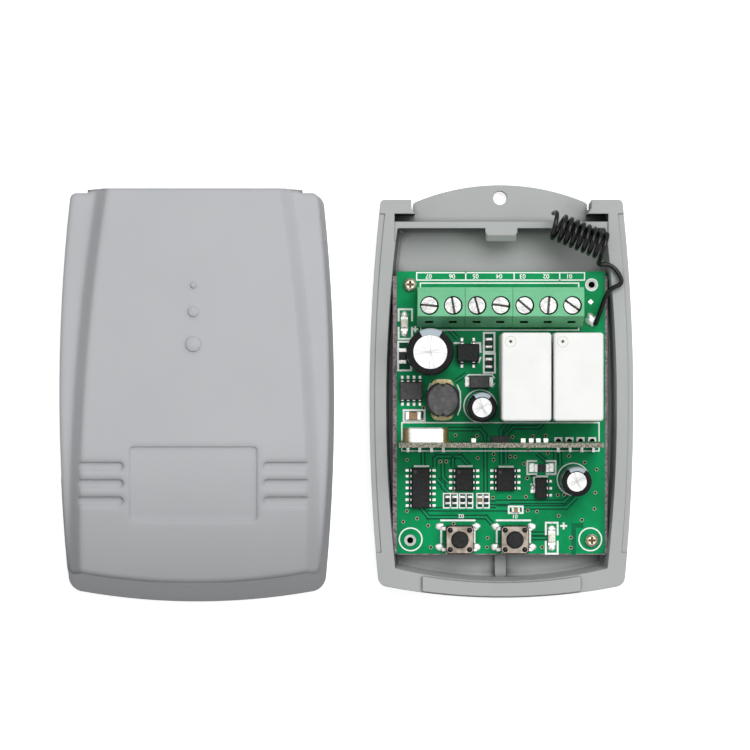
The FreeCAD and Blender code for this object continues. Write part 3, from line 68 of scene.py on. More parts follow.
FILM = 0.03  # thickness of pads, dirt and other thin skins
INK_SINK = 0.002
FIGURE_DEPTH = 0.01
FIGURE_WEIGHT = 0.02  # by which a numeral's outline is swollen
WAVE_SIZES = (1.0, 0.6, 0.4)  # of the three sines of a ragged outline
WELD_DIGITS = 4  # points that agree to so many digits of a millimetre are one
DOME_DEG = 84
DOME_SINK = 0.05
SHARP_DEG = 40
SKY_RAYS = 8
EDGE_RAYS = 4
RECEIVER = "receiver"

Place = tuple[float, float]
Spot = tuple[float, float, float]
Quad = tuple[float, float, float, float]
Line = Sequence[Place]
Faces = list[list[int]]
Shape = tuple[np.ndarray, Faces]
Tree = bpy.types.NodeTree
Node = bpy.types.Node
Socket = bpy.types.NodeSocket
Outputs = bpy.types.NodeOutputs


class Slot(Enum):
    """The record's material slots."""

    BOARD = "board_green"
    TERMINAL = "terminal_green"
    RELAY = "relay_white"
    STEEL = "steel"
    TIN = "tin"
    BRASS = "brass"
    CAN = "can_aluminium"
    SLEEVE = "sleeve_black"
    FERRITE = "ferrite"
    CHIP = "chip_black"
    CERAMIC = "ceramic"
    LAMP = "lamp_clear"
    BUTTON = "button_black"
    WIRE = "wire_black"


def linear(colour: str) -> Quad:
    """Turn a colour's digits to linear light by the sRGB curve.

    Args:
        colour: six hex digits, red first.

    Returns:
        Red, green and blue, and an alpha of one.
    """
    channels = [int(colour[i:i + 2], 16) / 255 for i in (0, 2, 4)]
    red, green, blue = [c / 12.92 if c <= 0.04045 else ((c + 0.055) / 1.055) ** 2.4 for c in channels]
    return red, green, blue, 1.0


def add_node(tree: Tree, kind: str, inputs: dict | None = None, **settings: object) -> Outputs:
    """Add one shader node.

    Args:
        tree: the node tree that the node joins.
        kind: the node's type, without the word before it.
        inputs: values, or the sockets that feed them, by input name or number.
        settings: the node's own settings.

    Returns:
        The new node's outputs.
    """
    node = tree.nodes.new("ShaderNode" + kind)
    for key, value in settings.items():
        setattr(node, key, value)
    for key, value in (inputs or {}).items():
        if isinstance(value, Socket):
            tree.links.new(value, node.inputs[key])
        else:
            node.inputs[key].default_value = value
    return node.outputs


@dataclass(frozen=True)
class Finish:
    """A surface of two close tones with fine grain: what most moulded and plated parts have.

    The tones mix by a soft noise as wide as the mottle, the grain lifts the surface by the depth,
    and edges look rounded over the edge width. Where other walls come within the crevice distance
    the colour darkens to crevice_level, which is painted shade. Each range is the low and the high
    value of the noise or of the open share of sky, between which its effect runs.
    """

    name: str
    colour: str
    shade: str
    roughness: float = 0.5
    spread: float = 0.08
    metallic: float = 0.0
    grain: float = 0.4
    depth: float = 0.01
    stretch: Spot = (1.0, 1.0, 1.0)
    mottle: float = 6.0
    edge: float = 0.0
    specular: float = 0.5
    crevice: float = 0.0
    crevice_level: float = 0.3
    crevice_range: Place = (0.1, 0.8)
    tone_range: Place = (0.35, 0.65)
    gloss_range: Place = (0.3, 0.7)

    def material(self) -> bpy.types.Material:
        """Make the finish's material when it is first asked for.

        Returns:
            The material, the same one at each call.
        """
        known = bpy.data.materials.get(self.name)
        if known is not None:
            return known
        material = bpy.data.materials.new(self.name)
        material.use_nodes = True
        tree = material.node_tree
        shader = tree.nodes["Principled BSDF"]
        shader.inputs["Metallic"].default_value = self.metallic
        shader.inputs["Specular IOR Level"].default_value = self.specular
        place = add_node(tree, "TexCoord")["Object"]
        tree.links.new(self.darkened(tree, self.pattern(tree, place)), shader.inputs["Base Color"])
        self.relief(tree, shader, place)
        self.extras(shader)
        return material

    def pattern(self, tree: Tree, place: Socket) -> Socket:
        """Mix the two tones by a soft noise.

        Args:
            tree: the finish's node tree.
            place: the socket that gives the place on the object.

        Returns:
            The socket that carries the colour.
        """
        noise = add_node(tree, "TexNoise", {"Vector": place, "Scale": 1 / (self.mottle * MM),
                                            "Detail": 3.0})
        low, high = self.tone_range
        share = add_node(tree, "MapRange", {0: noise[0], 1: low, 2: high})
        return add_node(tree, "Mix", {0: share[0], 6: linear(self.colour), 7: linear(self.shade)},
                        data_type="RGBA")[2]

    def darkened(self, tree: Tree, colour: Socket) -> Socket:
        """Paint shade into the colour in crevices.

        Args:
            tree: the finish's node tree.
            colour: the socket of the colour.

        Returns:
            The socket that carries the colour.
        """
        if not self.crevice:
            return colour
        sky = add_node(tree, "AmbientOcclusion", {"Distance": self.crevice * MM},
                       samples=SKY_RAYS)
        low, high = self.crevice_range
        level = add_node(tree, "MapRange", {0: sky["AO"], 1: low, 2: high, 3: self.crevice_level})
        return add_node(tree, "Mix", {0: 1.0, 6: colour, 7: level[0]}, data_type="RGBA",
                        blend_type="MULTIPLY")[2]

    def height(self, tree: Tree, grain: Socket, place: Socket) -> Socket:
        """Return the relief's height in metres: the grain times its depth."""
        return add_node(tree, "Math", {0: grain, 1: self.depth * MM}, operation="MULTIPLY")[0]

    def relief(self, tree: Tree, shader: Node, place: Socket) -> None:
        """Give the surface its grain, its uneven gloss and its rounded edges.

        Args:
            tree: the finish's node tree.
            shader: the node that takes them.
            place: the socket that gives the place on the object.
        """
        stretched = add_node(tree, "Mapping", {"Vector": place, "Scale": self.stretch})
        grain = add_node(tree, "TexNoise", {"Vector": stretched[0], "Scale": 1 / (self.grain * MM),
                                            "Detail": 2.0})[0]
        low, high = self.gloss_range
        gloss = add_node(tree, "MapRange", {0: grain, 1: low, 2: high, 3: self.roughness - self.spread,
                                            4: self.roughness + self.spread})
        tree.links.new(gloss[0], shader.inputs["Roughness"])
        surface = {"Distance": 1.0, "Height": self.height(tree, grain, place)}
        if self.edge:
            surface["Normal"] = add_node(tree, "Bevel", {"Radius": self.edge * MM},
                                         samples=EDGE_RAYS)[0]
        tree.links.new(add_node(tree, "Bump", surface)[0], shader.inputs["Normal"])

    def extras(self, shader: Node) -> None:
        """Set what only some finishes have: nothing here."""


@dataclass(frozen=True)
class Plastic(Finish):
    """Moulded or cast plastic, with the index and the faint glow inside that it has."""

    ior: float = 1.5
    glow: float = 0.0
    glow_reach: float = 0.5

    def extras(self, shader: Node) -> None:
        """Set the index, and let a little light travel inside pale plastics.

        Args:
            shader: the node that takes them.
        """
        shader.inputs["IOR"].default_value = self.ior
        shader.inputs["Subsurface Weight"].default_value = self.glow
        shader.inputs["Subsurface Scale"].default_value = self.glow_reach * MM


@dataclass(frozen=True)
class CrownedPlastic(Plastic):
    """A moulded face that falls away gently below one line.

    Below start the height drops by half of bend times the square of the distance, so its slope
    grows evenly.
    """

    start: float = -8.0
    bend: float = 0.01

    def height(self, tree: Tree, grain: Socket, place: Socket) -> Socket:
        """Take the fall from the grain's height.

        Args:
            tree: the finish's node tree.
            grain: the socket of the grain.
            place: the socket that gives the place on the object.

        Returns:
            The socket that carries the height in metres.
        """
        y = add_node(tree, "SeparateXYZ", {0: place})[1]
        below = add_node(tree, "Math", {0: self.start * MM, 1: y}, operation="SUBTRACT")
        past = add_node(tree, "Math", {0: below[0], 1: 0.0}, operation="MAXIMUM")[0]
        square = add_node(tree, "Math", {0: past, 1: past}, operation="MULTIPLY")
        return add_node(tree, "Math", {0: square[0], 1: -self.bend / 2 / MM,
                                       2: super().height(tree, grain, place)}, operation="MULTIPLY_ADD")[0]


@dataclass(frozen=True)
class TrayPlastic(Plastic):
    """A deep moulding with shade painted into the colour of its inner walls at the left and top.

    Such a wall darkens to wall_level where the moulding itself closes off its sky within
    wall_reach, which it does nowhere on the outside. The right wall keeps only right_share of the
    painted crevice shade, so that it is painted lighter, as if it faced the light. A face counts as
    a wall where its normal leans past the facing range.
    """

    wall_reach: float = 40.0
    wall_level: float = 0.3
    wall_range: Place = (0.65, 0.98)
    right_share: float = 0.45
    facing: Place = (0.5, 0.8)

    def darkened(self, tree: Tree, colour: Socket) -> Socket:
        """Paint shade into the colour in crevices and on the inner walls, and take most of it off the right
        wall.

        Args:
            tree: the finish's node tree.
            colour: the socket of the colour.

        Returns:
            The socket that carries the colour.
        """
        creviced = super().darkened(tree, colour)
        x, y, _ = add_node(tree, "SeparateXYZ", {0: add_node(tree, "TexCoord")["Normal"]})
        low, high = self.facing
        left = add_node(tree, "MapRange", {0: x, 1: low, 2: high})
        top = add_node(tree, "MapRange", {0: y, 1: -low, 2: -high})
        # Painted light: the right wall loses most of the crevice shade.
        right = add_node(tree, "MapRange", {0: x, 1: -low, 2: -high, 4: 1.0 - self.right_share})
        eased = add_node(tree, "Mix", {0: right[0], 6: creviced, 7: colour}, data_type="RGBA")
        shaded = add_node(tree, "Math", {0: left[0], 1: top[0]}, operation="MAXIMUM")
        # Painted shade on the inner walls at the left and top.
        sky = add_node(tree, "AmbientOcclusion", {"Distance": self.wall_reach * MM},
                       samples=SKY_RAYS, only_local=True)
        low, high = self.wall_range
        level = add_node(tree, "MapRange", {0: sky["AO"], 1: low, 2: high, 3: self.wall_level})
        return add_node(tree, "Mix", {0: shaded[0], 6: eased[2], 7: level[0]}, data_type="RGBA",
                        blend_type="MULTIPLY")[2]


@dataclass(frozen=True)
class Laminate(Plastic):
    """Glass-fibre board: mask on its broad faces, bare cut laminate on its edges.

    thin_axis is the axis, 0 to 2, along which the board is thin. A face is broad where its normal
    has more than broad_from along it.
    """

    edge_colour: str = "B7A67C"
    edge_shade: str = "8C8468"
    thin_axis: int = 2
    fibre: float = 0.35
    fibre_range: Place = (0.42, 0.58)
    broad_from: float = 0.7

    def pattern(self, tree: Tree, place: Socket) -> Socket:
        """Lay mask where the normal points along the thin axis, else laminate.

        Args:
            tree: the finish's node tree.
            place: the socket that gives the place on the object.

        Returns:
            The socket that carries the colour.
        """
        mask = super().pattern(tree, place)
        fibres = add_node(tree, "TexNoise", {"Vector": place, "Scale": 1 / (self.fibre * MM),
                                             "Detail": 4.0})
        low, high = self.fibre_range
        sharp = add_node(tree, "MapRange", {0: fibres[0], 1: low, 2: high})
        cut = add_node(tree, "Mix", {0: sharp[0], 6: linear(self.edge_colour), 7: linear(self.edge_shade)},
                       data_type="RGBA")
        parts = add_node(tree, "SeparateXYZ", {0: add_node(tree, "TexCoord")["Normal"]})
        size = add_node(tree, "Math", {0: parts[self.thin_axis]}, operation="ABSOLUTE")
        broad = add_node(tree, "Math", {0: size[0], 1: self.broad_from}, operation="GREATER_THAN")
        return add_node(tree, "Mix", {0: broad[0], 6: cut[2], 7: mask}, data_type="RGBA")[2]


@dataclass(frozen=True)
class StripedSleeve(Plastic):
    """Shrunk film with one pale stripe down each can, between two directions from its axis."""

    stripe: str = "AFBBC1"
    centres: tuple[Place, ...] = ()
    reach: float = 6.0
    middle_deg: float = 120.0
    half_deg: float = 27.0

    def pattern(self, tree: Tree, place: Socket) -> Socket:
        """Lay the stripe where the direction from a can's axis lies near the middle.

        Args:
            tree: the finish's node tree.
            place: the socket that gives the place on the object.

        Returns:
            The socket that carries the colour.
        """
        colour = super().pattern(tree, place)
        turn = (0.0, 0.0, -math.radians(self.middle_deg))
        half = math.radians(self.half_deg)
        for x, y in self.centres:
            local = add_node(tree, "Mapping", {"Vector": place, "Location": (-x * MM, -y * MM, 0.0)})
            turned_place = add_node(tree, "Mapping", {"Vector": local[0], "Rotation": turn})
            along, across, _ = add_node(tree, "SeparateXYZ", {0: turned_place[0]})
            direction = add_node(tree, "Math", {0: across, 1: along}, operation="ARCTAN2")
            aside = add_node(tree, "Math", {0: direction[0]}, operation="ABSOLUTE")
            inside = add_node(tree, "Math", {0: aside[0], 1: half}, operation="LESS_THAN")
            flat = add_node(tree, "CombineXYZ", {0: along, 1: across})
            distance = add_node(tree, "VectorMath", {0: flat[0]}, operation="LENGTH")
            near = add_node(tree, "Math", {0: distance["Value"], 1: self.reach * MM}, operation="LESS_THAN")
            both = add_node(tree, "Math", {0: inside[0], 1: near[0]}, operation="MULTIPLY")
            colour = add_node(tree, "Mix", {0: both[0], 6: colour, 7: linear(self.stripe)},
                              data_type="RGBA")[2]
        return colour


@dataclass(frozen=True)
class GluedCan(Finish):
    """A bright drawn can whose two ends carry brown glue."""

    glue: str = "8C7A52"
    centre: float = 0.0
    clean: float = 4.0
    ragged: float = 0.8
    fade: float = 0.5

    def pattern(self, tree: Tree, place: Socket) -> Socket:
        """Lay glue beyond clean from the middle, with a ragged edge.

        Args:
            tree: the finish's node tree.
            place: the socket that gives the place on the object.

        Returns:
            The socket that carries the colour.
        """
        metal = super().pattern(tree, place)
        x = add_node(tree, "SeparateXYZ", {0: place})[0]
        offset = add_node(tree, "Math", {0: x, 1: self.centre * MM}, operation="SUBTRACT")
        away = add_node(tree, "Math", {0: offset[0]}, operation="ABSOLUTE")
        noise = add_node(tree, "TexNoise", {"Vector": place, "Scale": 1 / (self.ragged * MM)})
        shift = add_node(tree, "Math", {0: noise[0], 1: self.ragged * MM, 2: away[0]},
                         operation="MULTIPLY_ADD")
        ends = add_node(tree, "MapRange", {0: shift[0], 1: self.clean * MM,
                                           2: (self.clean + self.fade) * MM})
        return add_node(tree, "Mix", {0: ends[0], 6: metal, 7: linear(self.glue)}, data_type="RGBA")[2]


# Grains that are finer than about 0.1 mm in life, such as those of ink, epoxy, plate and sheet, are
# drawn at 0.12 to 0.6 mm, which is as coarse as the picture needs to show them.

# Moulded ABS from a spark-eroded tool: a fine matt grain, soft edges, no gloss.
CASE_ABS = CrownedPlastic("spark_eroded_grey_abs", "B4B5B8", "B1B3B6", 0.62, 0.06, grain=0.5, depth=0.02,
                          mottle=14.0, edge=2.0, specular=0.3, bend=0.02)
# The tray's colour gets painted shade in its crevices and on its inner walls, less on the right wall.
TRAY_ABS = TrayPlastic("spark_eroded_grey_abs_tray", "AAADAC", "A7AAA9", 0.6, 0.06, grain=0.45,
                       depth=0.018, mottle=12.0, edge=0.3, specular=0.3, crevice=3.2,
                       crevice_level=0.15, crevice_range=(0.3, 0.75))
# Glossy solder mask over copper on glass-fibre laminate: deep green with a soft sheen.
# Its crevice setting paints shade into the mask near tall parts.
BOARD_MASK = Laminate("glossy_green_solder_mask", "00985B", "00834C", 0.36, 0.05, grain=1.2, depth=0.004,
                      mottle=5.0, specular=0.1, crevice=4.0, crevice_level=0.6)
MODULE_LAMINATE = Laminate("module_solder_mask", "0B6B42", "095636", 0.35, 0.05, grain=0.8, depth=0.004,
                           edge_colour="A09C8A", edge_shade="45443A", thin_axis=1)
# The same mask over a raised trace looks paler, and over bare laminate darker.
# Their crevice setting paints shade near tall parts too; BARE_MASK has none.
TRACE_MASK = Plastic("solder_mask_over_trace", "0C9C62", "12925A", 0.36, 0.04, grain=0.8, depth=0.003,
                     mottle=3.0, specular=0.1, crevice=4.0, crevice_level=0.5)
GAP_MASK = replace(TRACE_MASK, name="solder_mask_over_laminate", colour="03553A", shade="044A31",
                   roughness=0.4)
BARE_MASK = replace(GAP_MASK, name="solder_mask_over_bare_laminate", colour="057148", shade="046740",
                    crevice=0.0)
# Broken-off edge of the board: rough glass fibre with a pinkish tinge.
CUT_FIBRE = Plastic("broken_glass_fibre", "A99AA0", "65565E", 0.8, 0.05, grain=0.25, depth=0.03,
                    mottle=0.45, specular=0.2)
# Screen-printed epoxy ink: matt, slightly uneven in cover.
PRINT_INK = Plastic("white_screen_ink", "FFFFFF", "F0F6F2", 0.6, 0.05, grain=0.15, depth=0.004,
                    mottle=0.7)
RELAY_INK = Plastic("pale_relay_ink", "D8DCC4", "CBD0B6", 0.6, 0.05, grain=0.2, depth=0.003, mottle=0.7)
# Polyamide terminal moulding: satin, light passes a little way in.
TERMINAL_PA = Plastic("green_polyamide", "70BC8D", "68B486", 0.42, 0.06, grain=0.3, depth=0.006,
                      mottle=4.0, edge=0.2, specular=0.35, glow=0.06, glow_reach=0.4)
# Glass-filled PBT relay cover: smooth, near white.
RELAY_PBT = Plastic("white_pbt", "ECECEA", "E7E8E6", 0.38, 0.05, grain=0.5, depth=0.003, mottle=5.0,
                    edge=0.35, glow=0.1)
# Nickel plate: bright, with the fine turning marks of a screw head, and yellow where it is old.
NICKEL = Finish("nickel_plated_steel", "D8D8D6", "AFB0AE", 0.32, 0.12, 0.85, grain=0.35, depth=0.012,
                stretch=(0.5, 1.6, 1.0), mottle=0.9, edge=0.12)
WARM_NICKEL = Finish("yellowed_nickel", "F4EEE2", "CDB894", 0.32, 0.1, 0.85, grain=0.35, depth=0.02,
                     mottle=0.8, edge=0.2)
# Drawn can of the crystal: smooth bright metal, with brown glue at both ends.
CRYSTAL_CAN = GluedCan("drawn_nickel_can", "FDFDFB", "F2F1EC", 0.35, 0.08, 0.6, grain=0.5, depth=0.006,
                       mottle=2.5, edge=0.2)
# Reflowed solder: bright and wavy, it scatters more than a mirror. Flux leaves it yellow.
TIN = Finish("reflowed_solder", "FBFBF9", "D2D1CE", 0.42, 0.1, 0.75, grain=0.35, depth=0.04,
             mottle=0.55, edge=0.05)
FLUX_TIN = Finish("yellowed_tinning", "D9CCA4", "B7A679", 0.45, 0.1, 0.6, depth=0.02, mottle=0.9,
                  edge=0.1)
# A pale grey ring in each open hole is painted light: it stands for the lit top of the tray's boss seen
# through the hole.
BOSS_LIGHT = Finish("painted_boss_light_grey", "C4C5C4", "A9ABA9", 0.5, 0.08, 0.3, depth=0.006, mottle=0.8)
# Solder levelled by hot air on the spare pads, whiter where it is thick.
WHITE_TIN = Finish("thick_tin_levelled_by_hot_air", "F2F2F0", "DCDCDA", 0.5, 0.08, 0.25, mottle=0.8)
VIA_RING = Finish("tinned_via_ring", "D8C0AE", "A88E78", 0.45, 0.08, 0.2, grain=0.3, depth=0.004,
                  mottle=0.35)
# Stamped brass: warm and bright, since it is new.
BRASS = Finish("bare_brass", "D9BE7C", "B99B58", 0.35, 0.1, 1.0, depth=0.006, mottle=2.0, edge=0.1)
# Rolled stainless sheet, brushed one way, which draws the light out across the grain.
STAINLESS = Finish("brushed_stainless", "ABA195", "80766B", 0.4, 0.1, 0.9, grain=0.12, depth=0.003,
                   stretch=(0.2, 3.0, 1.0), mottle=1.2, edge=0.12)
# Impact-extruded aluminium lid, slightly frosted, and dull along its scores.
CAN_LID = Finish("frosted_aluminium", "E2E2E1", "C6C7C6", 0.45, 0.08, 0.7, grain=0.25, depth=0.008,
                 mottle=2.6, edge=0.1)
LID_SCORE = Finish("scored_aluminium", "BDBDBC", "A9A9A8", 0.5, 0.08, 0.6, grain=0.25, depth=0.008,
                   mottle=0.8)
# Shrunk black film on the cans: smooth and glossy, with a pale stripe at the minus side.
LARGE_FILM = StripedSleeve("black_film_large", "0A0D0E", "060809", 0.2, 0.04, grain=0.6, mottle=3.0,
                           edge=0.12, specular=0.2, middle_deg=89.0, half_deg=29.0)
SMALL_FILM = replace(LARGE_FILM, name="black_film_small", reach=4.0, middle_deg=88.0, half_deg=36.0)
# Pressed and ground ferrite: dull grey on its ground face, dark and varnished elsewhere.
FERRITE = Plastic("ground_ferrite", "666666", "505050", 0.72, 0.08, grain=0.35, depth=0.05, mottle=1.0,
                  edge=0.2, specular=0.2)
DARK_FERRITE = Plastic("varnished_ferrite", "262626", "1B1B1B", 0.5, 0.08, grain=0.3, depth=0.02,
                       mottle=1.0, specular=0.15)
# Epoxy moulding compound with a faint mould texture, greyer where it is worn.
EPOXY = Plastic("black_epoxy_moulding", "2B2B2C", "212122", 0.55, 0.08, grain=0.25, depth=0.02,
                mottle=0.7, edge=0.08, specular=0.15)
WORN_EPOXY = Plastic("grey_epoxy_moulding", "555556", "444445", 0.5, 0.08, grain=0.2, depth=0.015,
                     mottle=0.8, edge=0.08, specular=0.2)
# Fired glaze and fired ceramic of the chip parts: one dark and glossy, one tan and dull.
RESISTOR_GLAZE = Plastic("dark_resistor_glaze", "26282A", "141617", 0.3, 0.05, grain=0.3, mottle=0.5,
                         edge=0.05, specular=0.3)
CERAMIC_TAN = Plastic("fired_ceramic", "A98560", "92704E", 0.4, 0.06, grain=0.2, depth=0.006,
                      mottle=0.6, edge=0.06)
# Lamps: white laminate below, and cast resin above, which light enters.
LAMP_BASE = Plastic("white_lamp_laminate", "F4F5F0", "E8EAE2", 0.45, 0.06, grain=0.3, depth=0.005,
                    mottle=0.8, edge=0.05)
LAMP_RESIN = Plastic("clear_cast_resin", "FAFAF2", "D9D6BF", 0.18, 0.04, grain=0.5, mottle=0.6,
                     edge=0.1, glow=0.4, glow_reach=0.4)
# Injection-moulded black button, satin; the melted heads of its posts are glossier.
BUTTON_BLACK = Plastic("black_button_moulding", "2B2B2B", "202021", 0.5, 0.08, grain=0.25, depth=0.008,
                       mottle=1.0, edge=0.15, specular=0.15)
RIVET_BLACK = Plastic("black_riveted_post", "0C0C0D", "070708", 0.25, 0.05, grain=0.3, depth=0.004,
                      mottle=0.5, specular=0.25)
# Soft PVC over the antenna wire: near black, smooth, with sharp highlights.
WIRE_PVC = Plastic("black_pvc_insulation", "060707", "030404", 0.14, 0.03, grain=0.5, depth=0.003,
                   mottle=2.0, specular=0.3)
# Painted shade: dark, dull pieces in holes, gaps, slots, recesses and lead bends, so that they read as
# deep.
DARK_HOLE = Plastic("painted_hole_and_gap_shade", "0A0D0B", "060807", 0.7, 0.05, grain=0.3, depth=0.004,
                    mottle=0.4, specular=0.05)
# The grey in the screw slots is painted shade and oxide together.
SLOT_SHADE_AND_OXIDE = Plastic("painted_slot_shade_and_oxide", "6D6A64", "3B3833", 0.6, 0.05, grain=0.2, depth=0.006,
                     mottle=0.4, specular=0.15)
# Brown painted shade for the screws' crossed recesses.
RECESS_SHADE = Plastic("painted_brown_recess_shade", "8A6A3A", "3A2A16", 0.5, 0.05, grain=0.2,
                       depth=0.006, mottle=0.3, specular=0.3)
# Painted shade and reflection over each lead's steep bend, where the metal looks dark.
LEAD_BEND_SHADE = Plastic("painted_lead_bend_shade", "202422", "15201B", 0.6, 0.05, grain=0.2, depth=0.006,
                    mottle=0.5, specular=0.1)


def wrapped_faces(copies: int, rows: int, columns: int, ring: bool = False) -> Faces:
    """Return the faces of grids whose columns run round and close on themselves.

    Args:
        copies: how many grids follow each other in the points.
        rows: rows in each grid, from foot to top.
        columns: points in each row.
        ring: whether the last row joins the first, in place of two lids.

    Returns:
        Quads between neighbouring rows, and the lids.
    """
    bands = rows if ring else rows - 1
    row, column = np.meshgrid(np.arange(bands), np.arange(columns), indexing="ij")
    after = (column + 1) % columns
    above = (row + 1) % rows
    quads = np.stack([row * columns + column, row * columns + after,
                      above * columns + after, above * columns + column], -1).reshape(-1, 4)
    starts = np.arange(copies)[:, None, None] * rows * columns
    faces = (starts + quads).reshape(-1, 4).tolist()
    if ring:
        return faces
    lids = np.stack([np.arange(columns)[::-1], (rows - 1) * columns + np.arange(columns)])
    return faces + (starts + lids).reshape(-1, columns).tolist()


def prisms(plans: np.ndarray, low: np.ndarray | float, high: np.ndarray | float) -> Shape:
    """Return upright blocks over closed outlines, in millimetres.

    Each block is a grid of two rows, its outline at the low and at the high z.

    Args:
        plans: the corners of each outline in turn, x and y.
        low: z of the feet, one for all or one for each.
        high: z of the tops.

    Returns:
        The points and the faces.
    """
    heights = np.stack([np.broadcast_to(z, len(plans)) for z in (low, high)], 1)[:, :, None, None]
    rows = np.repeat(plans[:, None], 2, 1)
    return (np.concatenate([rows, np.repeat(heights, plans.shape[1], 2)], -1),
            wrapped_faces(len(plans), 2, plans.shape[1]))


def cuboids(lows: np.ndarray, highs: np.ndarray) -> Shape:
    """Make upright blocks between pairs of corners, each over its rectangle.

    Args:
        lows: one corner of each block.
        highs: the opposite corners.

    Returns:
        The points and the faces.
    """
    low, high = np.minimum(lows, highs), np.maximum(lows, highs)
    x = np.stack([low[:, 0], high[:, 0], high[:, 0], low[:, 0]], -1)
    y = np.stack([low[:, 1], low[:, 1], high[:, 1], high[:, 1]], -1)
    return prisms(np.stack([x, y], -1), low[:, 2], high[:, 2])


def ribbons(lines: Sequence[Line], width: float, low: float, high: float) -> Shape:
    """Return thin flat strips along polylines, in millimetres.

    Each run from p to q is a block of four corners, p and q moved half a width along and across
    the run, so that runs overlap at their corners. The tops rise by a step from run to run and
    fall back after RUN_STEPS runs, so that no two that cross coincide.

    Args:
        lines: the corners of each polyline in turn, x and y.
        width: width of the strips.
        low: z of their undersides.
        high: z of the lowest tops.

    Returns:
        The points and the faces.
    """
    starts = np.array([p for line in lines for p in line[:-1]], float)
    ends = np.array([q for line in lines for q in line[1:]], float)
    along = ends - starts
    along *= width / 2 / np.linalg.norm(along, axis=1, keepdims=True)
    across = np.stack([-along[:, 1], along[:, 0]], -1)
    plan = np.stack([starts - along - across, ends + along - across,
                     ends + along + across, starts - along + across], 1)
    return prisms(plan, low, high + RUN_STEP * (np.arange(len(plan)) % RUN_STEPS))


def lengthened(line: Line, extra: float) -> Line:
    """Move both ends of a polyline outwards.

    Args:
        line: its corners in turn.
        extra: how far each end moves.

    Returns:
        The corners of the longer polyline.
    """
    points = np.array(line, float)
    for end, inner in ((0, 1), (-1, -2)):
        step = points[end] - points[inner]
        points[end] += step * extra / np.linalg.norm(step)
    return points.tolist()


def turned(profile: Sequence[Place], centres: Sequence[Sequence[float]], columns: int = 24,
           stretch: Place = (1.0, 1.0), wobble: float = 0.0, ring: bool = False,
           waves: tuple[int, int, int] = (2, 3, 5), seed: int = 5) -> Shape:
    """Return surfaces turned about upright axes, in millimetres.

    With radius r and height z from the profile and v round the axis, a point is centre plus
    (r sx w cos v, r sy w sin v, z), where w is 1 plus three sines of v with seeded phases.

    Args:
        profile: radius and height pairs, from foot to top.
        centres: x, y and z of each surface's foot.
        columns: points round the axis.
        stretch: sx and sy.
        wobble: size of the sines.
        ring: whether the profile closes on itself.
        waves: how often each sine repeats round the axis.
        seed: seed of the phases.

    Returns:
        The points and the faces.
    """
    centre = np.array(centres, float)
    radius, height = np.array(profile, float).T
    turn = np.arange(columns) * 2 * math.pi / columns
    phases = np.random.default_rng(seed).uniform(0, 2 * math.pi, (len(centre), 3, 1))
    sines = np.sin(np.array(waves)[None, :, None] * turn + phases) * np.array(WAVE_SIZES)[:, None]
    ragged = 1 + wobble * sines.sum(1)
    reach = radius[None, :, None] * ragged[:, None, :]
    x = centre[:, 0, None, None] + reach * stretch[0] * np.cos(turn)
    y = centre[:, 1, None, None] + reach * stretch[1] * np.sin(turn)
    z = np.broadcast_to(centre[:, 2, None, None] + height[None, :, None], x.shape)
    return np.stack([x, y, z], -1), wrapped_faces(len(centre), len(radius), columns, ring)


def dome_profile(radius: float, height: float, rows: int = 6) -> list[Place]:
    """Return a dome's profile: r = R cos u, z = H sin u, with u from 0 to nearly a quarter turn."""
    steps = np.linspace(0, 1, rows) * math.radians(DOME_DEG)
    return [(radius, -DOME_SINK)] + [(radius * math.cos(u), height * math.sin(u)) for u in steps]


def discs(radius: float, thickness: float, centres: Sequence[Spot], columns: int = 20,
          stretch: Place = (1.0, 1.0)) -> Shape:
    """Return flat round plates, turned from an upright line."""
    return turned([(radius, 0.0), (radius, thickness)], centres, columns, stretch)


def flat_rings(inner: float, outer: float, thickness: float, centres: Sequence[Spot],
               columns: int = 40) -> Shape:
    """Return flat rings, turned from a rectangular section."""
    section = [(inner, 0.0), (outer, 0.0), (outer, thickness), (inner, thickness)]
    return turned(section, centres, columns, ring=True)


def at_height(places: Sequence[Place], z: float) -> list[Spot]:
    """Return places in the plane as places at one height."""
    return [(x, y, z) for x, y in places]


def oblong(left: float, top: float, right: float, bottom: float) -> Line:
    """Return a closed rectangle."""
    return ((left, top), (right, top), (right, bottom), (left, bottom), (left, top))


def slabs(plans: Sequence[Quad], low: float, high: float) -> Shape:
    """Make flat blocks over rectangles.

    Args:
        plans: left, bottom, right and top of each.
        low: z of their feet.
        high: z of their tops.

    Returns:
        The points and the faces.
    """
    plan = np.array(plans)
    return cuboids(np.column_stack([plan[:, :2], np.full(len(plan), low)]),
                   np.column_stack([plan[:, 2:], np.full(len(plan), high)]))


def box_of(node: str) -> tuple[np.ndarray, np.ndarray]:
    """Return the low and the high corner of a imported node's box, in millimetres."""
    low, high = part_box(node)
    return np.array(low) / MM, np.array(high) / MM


def merged(*parts: Shape) -> Shape:
    """Join several sets of points and faces.

    Args:
        parts: the sets.

    Returns:
        One set, its faces renumbered.
    """
    points, faces = [], []
    count = 0
    for part_points, part_faces in parts:
        flat = part_points.reshape(-1, 3)
        points.append(flat)
        faces += [[index + count for index in face] for face in part_faces]
        count += len(flat)
    return np.concatenate(points), faces


